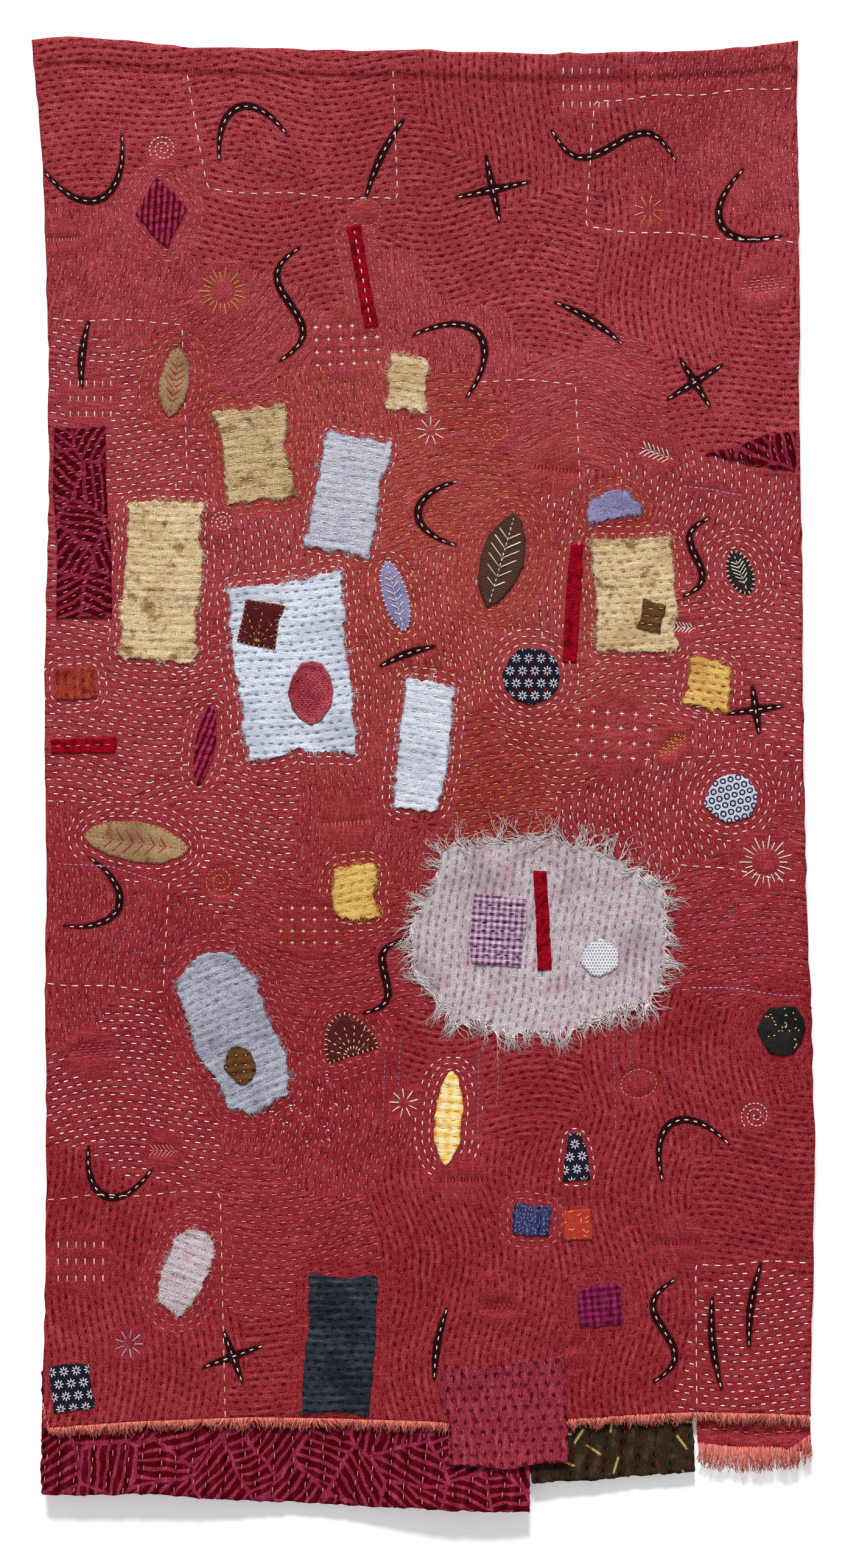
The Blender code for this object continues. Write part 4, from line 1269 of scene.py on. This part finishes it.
def layCloth(mesh, field, turn, centre):
    # the cloth's own coordinates, turned with its grain, and its rows of stitches
    x, _, z = numbersOf(mesh.vertices, "co", 3)[numbersOf(mesh.loops, "vertex_index", 1, int)].T
    local = turnedLine(pairs(x - centre[0], z - centre[1]), -turn, centre[0] * 3.7, centre[1] * 2.9)
    addUv(mesh, "cloth", local[:, 0], local[:, 1])
    addUv(mesh, "rows", *(rowsAt(field, x, z) if field else (0 * x, 0 * x + 0.5)))


def cutSize(line):
    # the smallest upright box that holds the outline when it is turned: the size it was cut to
    spans = (np.ptp(turnedLine(line, turn, 0, 0), axis=0) for turn in range(0, 90, 3))
    return sorted(float(side) for side in min(spans, key=lambda span: span[0] * span[1]))


# The red cloth: a fine face, a coarser back, drawn in along its edges.
mainSizes = {"cols": 72, "rows": 130, "fine": 2, "edgeWander": 0.0009, "soft": 0.0006, "flat": (0.612, 1.092),
             "corners": ((-0.309, 0.008), (0.296, 0.008), (0.305, -1.077), (-0.300, -1.087))}


def mainGrid():
    # a flat slab whose face is cut finer than its back
    shape = bmesh.new()
    bmesh.ops.create_grid(shape, x_segments=mainSizes["cols"], y_segments=mainSizes["rows"], size=0.5)
    grown = bmesh.ops.extrude_face_region(shape, geom=shape.faces[:])
    backs = [part for part in grown["geom"] if isinstance(part, bmesh.types.BMVert)]
    bmesh.ops.translate(shape, verts=backs, vec=(0, 0, -1))
    bmesh.ops.recalc_face_normals(shape, faces=shape.faces)
    face = [edge for edge in shape.edges if all(vert.co.z > -0.5 for vert in edge.verts)]
    bmesh.ops.subdivide_edges(shape, edges=face, cuts=mainSizes["fine"], use_grid_fill=True)
    return meshFrom(shape, "redCloth")


def mainSides():
    # the outline's left, hem, right and top, between its four corners
    corners = [int(np.argmin(np.hypot(mainOutline[:, 0] - x, mainOutline[:, 1] - z)))
               for x, z in mainSizes["corners"]]
    count = len(mainOutline)
    return [np.array([mainOutline[(corners[first] + k) % count]
                      for k in range((corners[last] - corners[first]) % count + 1)])
            for first, last in ((0, 3), (3, 2), (2, 1), (1, 0))]


def spreadLine(line):
    # a line's points with their x from 0 to 1
    return pairs((line[:, 0] - line[:, 0].min()) / np.ptp(line[:, 0]), line[:, 1])


def mainCloth():
    mesh = mainGrid()
    places = numbersOf(mesh.vertices, "co", 3)
    u, v, atBack = places[:, 0] + 0.5, places[:, 1] + 0.5, places[:, 2] < -0.5
    left, hem, right, top = mainSides()
    zTop, zHem = lineAt(u, spreadLine(top)), lineAt(u, spreadLine(hem))
    z = zHem + (zTop - zHem) * v
    xLeft, xRight = lineAt(z, left[:, ::-1]), lineAt(z, right[:, ::-1])
    wander = cloudy(0.012, 0.012, 21)
    shake = mainSizes["edgeWander"] * readMap(wander, xLeft + 0.02, z)
    shakeRight = mainSizes["edgeWander"] * readMap(wander, xRight - 0.02, z)
    x = xLeft + (xRight - xLeft) * u + shake * np.exp(-u / 0.01) + shakeRight * np.exp(-(1 - u) / 0.01)
    z = z + mainSizes["edgeWander"] * readMap(wander, x, zTop - 0.03) * np.exp(-(1 - v) / 0.006)
    # the edge is turned, so it rounds off
    rim = np.minimum(np.minimum(u, 1 - u) * mainSizes["cols"], np.minimum(v, 1 - v) * mainSizes["rows"])
    soft = mainSizes["soft"] * np.clip(1 - rim * 1.6, 0, 1) ** 2
    depth = np.where(atBack, readMap(clothBack, x, z) - soft * 0.5, readMap(clothFace, x, z) + soft)
    mesh.vertices.foreach_set("co", np.stack([x, depth, z], 1).ravel())
    mesh.update()
    # each face takes the rows of the field that its middle lies in
    centres = numbersOf(mesh.polygons, "center", 3)
    owner = np.repeat(fieldAt(centres[:, 0], centres[:, 2]), numbersOf(mesh.polygons, "loop_total", 1, int))
    index = numbersOf(mesh.loops, "vertex_index", 1, int)
    cx, cz = x[index], z[index]
    rows = np.zeros((2, len(cx)))
    for count, field in enumerate(fields):
        mine = owner == count
        rows[:, mine] = rowsAt(field, cx[mine], cz[mine])
    addUv(mesh, "cloth", cx, cz)
    addUv(mesh, "rows", *rows)
    addValues(mesh, "calm", readMap(blurred((cleared | nearPatch).astype(float), 0.8), x, z))
    addValues(mesh, "ink", np.where(atBack, inkSizes["reach"], readMap(ink, x, z)))
    addValues(mesh, "fold", readMap(fold, x, z))
    warm = np.exp(-((x / 0.19) ** 2 + ((z + 0.45) / 0.26) ** 2))
    addValues(mesh, "warm", warm * (0.75 + 0.25 * readMap(warpX, x, z)))
    return addObject("redCloth", mesh, cloths["redMain"])


redCloth = mainCloth()
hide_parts("main_cloth")
print("red cloth:", len(redCloth.data.polygons), "faces")


def addCloth(node, mesh, cloth):
    first, *others = node.split("_")
    made = addObject(first + "".join(word.title() for word in others), mesh, cloths[cloth])
    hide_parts(node)
    return made


for node, (cloth, turn, behind, thread, angle) in stripLooks.items():
    line = roughOutline(node, stripSizes["wander"], 77)
    mesh = clothMesh(node, line, patchSizes["cell"], stripSizes["thick"], hang + behind - 0.6 * relief, 0.0)
    layCloth(mesh, stripFields[node], turn, outlineOf(node).mean(0))
    made = addCloth(node, mesh, cloth)
    wide, tall = cutSize(line)
    min(shoelace(line), wide * tall)

for node, (cloth, turn, way, thread, edge) in patchLooks.items():
    line = patchLines[node]
    mesh = clothMesh(node, line, patchSizes["cell"], patchSizes["thick"], clothFace, standOf(node))
    layCloth(mesh, patchFields[node], turn, line.mean(0))
    made = addCloth(node, mesh, cloth)
    wide, tall = cutSize(line)
    min(shoelace(line), wide * tall)
print("patches laid:", len(patchLooks))


# Threads: one small proto stitch, repeated as arrays.
def protoTube(sides, cuts):
    shape = bmesh.new()
    bmesh.ops.create_cone(shape, cap_ends=True, segments=sides, radius1=1.0, radius2=1.0, depth=1.0)
    for at in cuts:
        cut(shape, (0, 0, at), (0, 0, 1), 1e-6)
    bmesh.ops.triangulate(shape, faces=shape.faces)
    bmesh.ops.recalc_face_normals(shape, faces=shape.faces)
    shape.verts.ensure_lookup_table()
    places = np.array([vert.co[:] for vert in shape.verts])
    corners = np.array([[vert.index for vert in face.verts] for face in shape.faces])
    shape.free()
    return places, corners


def joinedMesh(name, places, corners, shade):
    # places: copies x points x 3, corners: the proto's triangles
    copies, count = places.shape[:2]
    faces = (corners[None] + (np.arange(copies) * count)[:, None, None]).reshape(-1, 3)
    mesh = bpy.data.meshes.new(name)
    mesh.vertices.add(copies * count)
    mesh.vertices.foreach_set("co", places.reshape(-1))
    mesh.loops.add(faces.size)
    mesh.loops.foreach_set("vertex_index", faces.reshape(-1))
    mesh.polygons.add(len(faces))
    mesh.polygons.foreach_set("loop_start", np.arange(0, faces.size, 3))
    mesh.update(calc_edges=True)
    addValues(mesh, "shade", np.repeat(shade, count))
    return mesh


stitchSizes = {"sink": 0.00035, "arch": 0.00030, "flat": 0.75, "tip": 0.55, "back": 0.0008}


def stitchMesh(name, ends, width, surface, toward, sides=4, cuts=(-0.30, 0.30)):
    proto, corners = protoTube(sides, cuts)
    run = ends[:, 2:] - ends[:, :2]
    length = np.linalg.norm(run, axis=1)
    run = run / np.maximum(length, 1e-9)[:, None]
    t, a, b = proto[:, 2], proto[:, 0], proto[:, 1]
    atTip = np.abs(t) > 0.45
    own = np.random.default_rng(len(ends))
    half = 0.5 * width * own.uniform(0.82, 1.18, len(ends))
    taper = np.where(atTip, stitchSizes["tip"], 1.0)
    arch = np.where(atTip, -stitchSizes["sink"], stitchSizes["arch"])
    middle = 0.5 * (ends[:, :2] + ends[:, 2:])
    lineX, lineZ = (middle[:, k:k + 1] + run[:, k:k + 1] * length[:, None] * t for k in (0, 1))
    x = lineX - run[:, 1:] * half[:, None] * a * taper
    z = lineZ + run[:, :1] * half[:, None] * a * taper
    # the middle of a stitch bridges the low places under it
    ground = readMap(surface, lineX, lineZ)
    under = np.repeat(readMap(surface, *middle.T)[:, None], len(t), 1)
    ground = np.where(atTip, ground, toward * np.max(toward * np.stack([ground, under]), 0))
    y = ground + toward * (arch + half[:, None] * b * taper * stitchSizes["flat"])
    corners = corners if toward > 0 else corners[:, ::-1]
    return joinedMesh(name, np.stack([x, y, z], 2), corners, own.uniform(0.15, 1.0, len(ends)))


for thread, groups in stitches.items():
    light, dark, width, slot = threads[thread]
    ends = np.concatenate(groups)
    mesh = stitchMesh(thread + "Stitches", ends, width, front, -1)
    addObject(mesh.name, mesh, threadDye(thread + "Thread", light, dark))
    print(" ", thread, len(ends), "stitches,", len(mesh.polygons), "triangles")

# The back of the work: short returns between the stitches of the front.
half = 0.5 * (reverse[:, 2:] - reverse[:, :2])
shift = half / np.linalg.norm(half, axis=1, keepdims=True) * (0.5 * fieldSizes["pitch"])
returns = np.concatenate([reverse[:, :2] + half * 0.45 + shift, reverse[:, 2:] - half * 0.45 + shift], 1)
returns = returns[edgeFar[middles(returns)]][::2]
mesh = stitchMesh("backStitches", returns, stitchSizes["back"], clothBack, 1, 3, (0.0,))
addObject("backStitches", mesh, threadDye("backThread", *threads["crimson"][:2]))
print("back stitches:", len(returns))


# Loose threads: fringes and frayed edges, as joined strands that bend and taper.
def strandMesh(name, roots, way, length, radius, sway, lift, cuts=(-0.25, 0.0, 0.25), tip=0.35, curl=0.09):
    # roots: (x, y, z); way: (x, z) direction; sway: sideways bend; lift: how far the tip comes forward
    proto, corners = protoTube(3, cuts)
    t, a, b = proto[:, 2] + 0.5, proto[:, 0], proto[:, 1]
    own = np.random.default_rng(5)
    count = len(roots)
    wave, phase = own.uniform(2.0, 5.0, count), own.uniform(0, 6.28, count)
    side = pairs(-way[:, 1], way[:, 0])
    along = length[:, None] * t
    aside = sway[:, None] * (t ** 1.8)
    aside = aside + curl * length[:, None] * t * np.sin(wave[:, None] * t * 2 + phase[:, None])
    thin = radius[:, None] * (1 - (1 - tip) * t)
    x = roots[:, :1] + way[:, :1] * along + side[:, :1] * (aside + thin * a)
    z = roots[:, 2:] + way[:, 1:] * along + side[:, 1:] * (aside + thin * a)
    y = roots[:, 1:2] - lift[:, None] * np.sin(np.pi * np.clip(t, 0, 0.8)) + thin * b
    return joinedMesh(name, np.stack([x, y, z], 2), corners, own.uniform(0.0, 1.0, count))


def downward(slopes):
    # directions of threads that hang, from their slopes
    way = pairs(slopes, np.full(len(slopes), -1.0))
    return way / np.linalg.norm(way, axis=1, keepdims=True)


fringeSizes = {"step": 0.00085, "long": 0.0082, "radius": 0.00048, "rows": 3, "blunt": 0.8, "ends": 0.32}
stripFringeSizes = {"step": 0.0006, "long": 0.0185, "radius": 0.00034, "rows": 2, "ends": (0.2, 0.32)}


def hemFringe():
    def knots(count):
        return np.linspace(-fringeSizes["ends"], fringeSizes["ends"], count)

    hem = orderedLine(mainOutline[mainOutline[:, 1] < -1.06])
    xs = np.arange(hem[:, 0].min() + 0.0012, hem[:, 0].max() - 0.0006, fringeSizes["step"])
    own = np.random.default_rng(8)
    clumps = np.interp(xs, knots(150), own.uniform(0.72, 1.28, 150))
    lean = np.interp(xs, knots(110), own.normal(0, 0.0016, 110))
    groups = []
    for layer in range(fringeSizes["rows"]):
        x = xs + own.uniform(-0.0006, 0.0006, len(xs))
        z = np.interp(x, *hem.T) + 0.0012
        y = readMap(hang, x, z) + 0.0002 - 0.0005 * layer
        long = fringeSizes["long"] * (1.12 - 0.20 * layer) * clumps * own.uniform(0.62, 1.15, len(xs))
        sway = lean + own.normal(0, 0.0004, len(xs))
        clear = ~patchOn["dotted_patch"][cellOf(x, z - 0.004)]
        groups.append([part[clear] for part in (np.stack([x, y, z], 1), long, sway)])
    roots, length, sway = (np.concatenate(parts) for parts in zip(*groups))
    count = len(roots)
    # threads of one tuft lean to one side together
    slopes = np.interp(roots[:, 0], knots(170), own.normal(0, 0.30, 170))
    way = downward(slopes + own.normal(0, 0.13, count))
    radius = fringeSizes["radius"] * own.uniform(0.75, 1.25, count)
    return strandMesh("hemFringe", roots, way, length, radius, sway, own.uniform(0.0003, 0.0018, count),
                      tip=fringeSizes["blunt"])


def stripFringe():
    sizes = stripFringeSizes
    outline = outlineOf("red_strip")
    line = orderedLine(outline[outline[:, 1] < -1.08])
    xs = np.arange(line[:, 0].min() + 0.001, line[:, 0].max() - 0.0006, sizes["step"])
    own = np.random.default_rng(18)
    groups = []
    for layer in range(sizes["rows"]):
        x = xs + own.uniform(-0.0005, 0.0005, len(xs))
        z = np.interp(x, *line.T) + 0.0015
        y = readMap(hang, x, z) + hangSizes["farStripFront"] + 0.0002 + 0.0003 * layer
        clump = np.interp(x, np.linspace(*sizes["ends"], 26), own.uniform(0.85, 1.12, 26))
        long = sizes["long"] * clump * own.uniform(0.8, 1.1, len(x))
        bend = np.interp(x, np.linspace(*sizes["ends"], 22), own.normal(0, 0.002, 22))
        groups.append((np.stack([x, y, z], 1), long, bend + own.normal(0, 0.0008, len(x))))
    roots, length, sway = (np.concatenate(parts) for parts in zip(*groups))
    count = len(roots)
    length = np.minimum(length, roots[:, 2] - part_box("red_strip_fringe")[0][2])
    way = downward(own.normal(0, 0.05, count))
    radius = sizes["radius"] * own.uniform(0.8, 1.3, count)
    return strandMesh("redStripFringe", roots, way, length, radius, sway, own.uniform(0.0002, 0.0030, count),
                      cuts=(-0.3, -0.1, 0.1, 0.3), tip=fringeSizes["blunt"])


fringeDye = threadDye("salmonFringe", (242, 146, 130), (184, 80, 72))
for node, mesh in (("hem_fringe", hemFringe()), ("red_strip_fringe", stripFringe())):
    addObject(mesh.name, mesh, fringeDye)
    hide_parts(node)

frayColours = {
    # cloth: light, dark, a slot name
    "cream": ((240, 226, 194), (204, 176, 128), "cream_cloth"),
    "creamStained": ((240, 226, 194), (204, 176, 128), "cream_cloth"),
    "tan": ((214, 186, 140), (158, 122, 76), "tan_cloth"),
    "mist": ((208, 210, 222), (150, 152, 172), "mist_cloth"),
    "paleBlue": ((236, 240, 246), (190, 200, 216), "pale_blue_cloth"),
    "grey": ((246, 238, 236), (198, 184, 186), "grey_cloth"),
    "blueGrey": ((204, 212, 224), (138, 148, 168), "blue_grey_cloth"),
    "yellow": ((244, 212, 124), (196, 148, 54), "yellow_cloth"),
    "lilac": ((178, 176, 208), (118, 114, 160), "lilac_cloth"),
    "dark": ((70, 62, 66), (30, 26, 32), "black_cloth"),
    "plum": ((168, 60, 92), (96, 16, 40), "plum_print"),
}
# edge: step between threads and their length
fraySizes = {"ragged": (0.0008, 0.0040), "rag": (0.0007, 0.0125), "raw": (0.0018, 0.0016)}
frayRadius = {"rag": 0.00027, "other": 0.00015}
darkFray = ("darkBrown", "black", "flowerPrint", "brown", "navyPrint", "charcoal", "brownMarks")


def edgeStrands(node, edge):
    step, long = fraySizes[edge]
    rag = edge == "rag"
    own = np.random.default_rng(len(node) * 31)
    place = spaced(patchLines[node], step)
    out = outward(place)
    # loose ends hang together in tufts that lean the same way, and droop a little
    count = len(place)
    every = 9 if rag else 6
    lean = 0.55 * unevenLoop(count, every, own) + own.normal(0, 0.16, count)
    way = out + pairs(-out[:, 1], out[:, 0]) * lean[:, None] + np.array([0.0, -0.30 if rag else -0.10])
    way /= np.linalg.norm(way, axis=1, keepdims=True)
    clump = np.clip(0.85 + 0.55 * unevenLoop(count, every, own), 0.15, 2.2)
    length = long * clump * own.uniform(0.6, 1.25, count)
    root = place - out * 0.0012
    if rag:
        # threads of one tuft run to one point
        tuft = np.cumsum(own.random(count) < 0.17)
        for mine in (np.flatnonzero(tuft == k) for k in range(tuft[-1] + 1)):
            if len(mine):
                middle = mine[len(mine) // 2]
                tip = place[middle] + way[middle] * (long * own.uniform(0.45, 1.9))
                spread = 0.22 * (place[mine] - place[middle]) + own.normal(0, 0.0010, (len(mine), 2))
                toTip = tip + spread - root[mine]
                length[mine] = np.linalg.norm(toTip, axis=1) * own.uniform(0.7, 1.08, len(mine))
                way[mine] = toTip / np.linalg.norm(toTip, axis=1, keepdims=True)
    face = readMap(clothFace, root[:, 0], root[:, 1]) - standOf(node)
    y = face + 0.5 * patchSizes["thick"] - own.uniform(0, 0.0002, len(root))
    if rag:
        low, high = (np.array([corner[0], corner[2]]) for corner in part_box("grey_rag_fringe"))
        length = np.linalg.norm(np.clip(root + way * length[:, None], low, high) - root, axis=1)
    roots = np.stack([root[:, 0], y, root[:, 1]], 1)
    bend = length * (0.42 * unevenLoop(count, every, own) + own.normal(0, 0.22, count))
    return roots, way, length, bend, own.uniform(0.0, 0.0012, count)


byCloth = {}
for node, (cloth, turn, way, thread, edge) in patchLooks.items():
    if edge in fraySizes:
        key = cloth if cloth in frayColours else ("dark" if cloth in darkFray else "plum")
        byCloth.setdefault("greyRag" if edge == "rag" else key, []).append(edgeStrands(node, edge))
for key, groups in byCloth.items():
    roots, way, length, sway, lift = (np.concatenate(parts) for parts in zip(*groups))
    rag = key == "greyRag"
    light, dark, slot = frayColours["grey" if rag else key]
    radius = np.full(len(roots), frayRadius["rag" if rag else "other"])
    mesh = strandMesh(key + "Fray", roots, way, length, radius, sway, lift,
                      cuts=(-0.3, -0.1, 0.1, 0.3) if rag else (0.0,), curl=0.17 if rag else 0.09)
    made = addObject(mesh.name, mesh, threadDye(key + "FrayThread", light, dark))
    if rag:
        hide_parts("grey_rag_fringe")
    print(" ", key, "fray:", len(roots), "threads")

# The room: a pale wall just behind, a pale floor below, and soft light from above.
roomSizes = {"wall": 0.0110, "floor": -2.2, "half": 9.0, "floorHalf": 3.0, "glow": 0.15}
roomTones = {"wall": (0.92, 0.92, 0.92), "floor": (0.32, 0.32, 0.31), "air": (0.97, 0.98, 1.0)}


def plainPlane(name, size, turn, place, glow):
    shape = bmesh.new()
    bmesh.ops.create_grid(shape, x_segments=1, y_segments=1, size=size)
    turned = Matrix.Rotation(math.radians(turn), 3, "X")
    bmesh.ops.rotate(shape, verts=shape.verts, matrix=turned, cent=(0, 0, 0))
    bmesh.ops.translate(shape, verts=shape.verts, vec=place)
    mesh = meshFrom(shape, name)
    dye = Dye(name, 0.95)
    dye.set("Base Color", roomTones[name])
    dye.set("Emission Color", (1, 1, 1))
    dye.set("Emission Strength", glow)
    if glow:  # the wall lets views and light from behind through
        behind = dye.wire("ShaderNodeNewGeometry", output="Backfacing")
        passing = dye.math("MAXIMUM", behind, dye.wire("ShaderNodeLightPath", output="Is Shadow Ray"))
        clear = dye.wire("ShaderNodeBsdfTransparent")
        mixed = dye.wire("ShaderNodeMixShader", {0: passing, 1: Wire(dye, dye.shader.outputs[0]), 2: clear})
        dye.set(0, mixed, dye.tree.nodes["Material Output"])
    mesh.materials.append(dye.material)
    made = bpy.data.objects.new(name, mesh)
    bpy.context.scene.collection.objects.link(made)


plainPlane("wall", roomSizes["half"], 90, (0, roomSizes["wall"], roomSizes["floor"] + roomSizes["half"]),
           roomSizes["glow"])
plainPlane("floor", roomSizes["floorHalf"], 0, (0, 0, roomSizes["floor"]), 0.0)

cameraSizes = {"lens": 135.0, "sensor": 36.0, "frameTall": 1.2365, "middle": (-0.0005, -0.5784)}
lightRows = (
    # name, where it shines from, softness in degrees, strength
    ("key", (-0.14, -1.0, 1.62), 15.0, 5.5),
    ("behind", (0.5, 1.0, 0.9), 30.0, 2.6),
)
airLight = 0.40


def placeLights():
    for name, place, soft, strength in lightRows:
        lamp = bpy.data.lights.new(name, "SUN")
        lamp.angle, lamp.energy = math.radians(soft), strength
        made = bpy.data.objects.new(name, lamp)
        made.location = place
        made.rotation_euler = (-Vector(place)).to_track_quat("-Z", "Y").to_euler()
        bpy.context.scene.collection.objects.link(made)
    world = bpy.context.scene.world or bpy.data.worlds.new("World")
    bpy.context.scene.world = world
    world.use_nodes = True
    air = world.node_tree.nodes["Background"]
    air.inputs[0].default_value = (*roomTones["air"], 1)
    air.inputs[1].default_value = airLight
    bpy.context.scene.view_settings.view_transform = "Standard"


def placeCamera():
    sizes = cameraSizes
    lens = bpy.data.cameras.new("camera")
    lens.lens, lens.sensor_width, lens.sensor_height = sizes["lens"], sizes["sensor"], sizes["sensor"]
    made = bpy.data.objects.new("camera", lens)
    far = sizes["frameTall"] / 2 / (sizes["sensor"] / 2 / sizes["lens"])
    made.location = (sizes["middle"][0], -far, sizes["middle"][1])
    made.rotation_euler = (math.radians(90), 0, 0)
    bpy.context.scene.collection.objects.link(made)
    bpy.context.scene.camera = made


placeLights()
placeCamera()
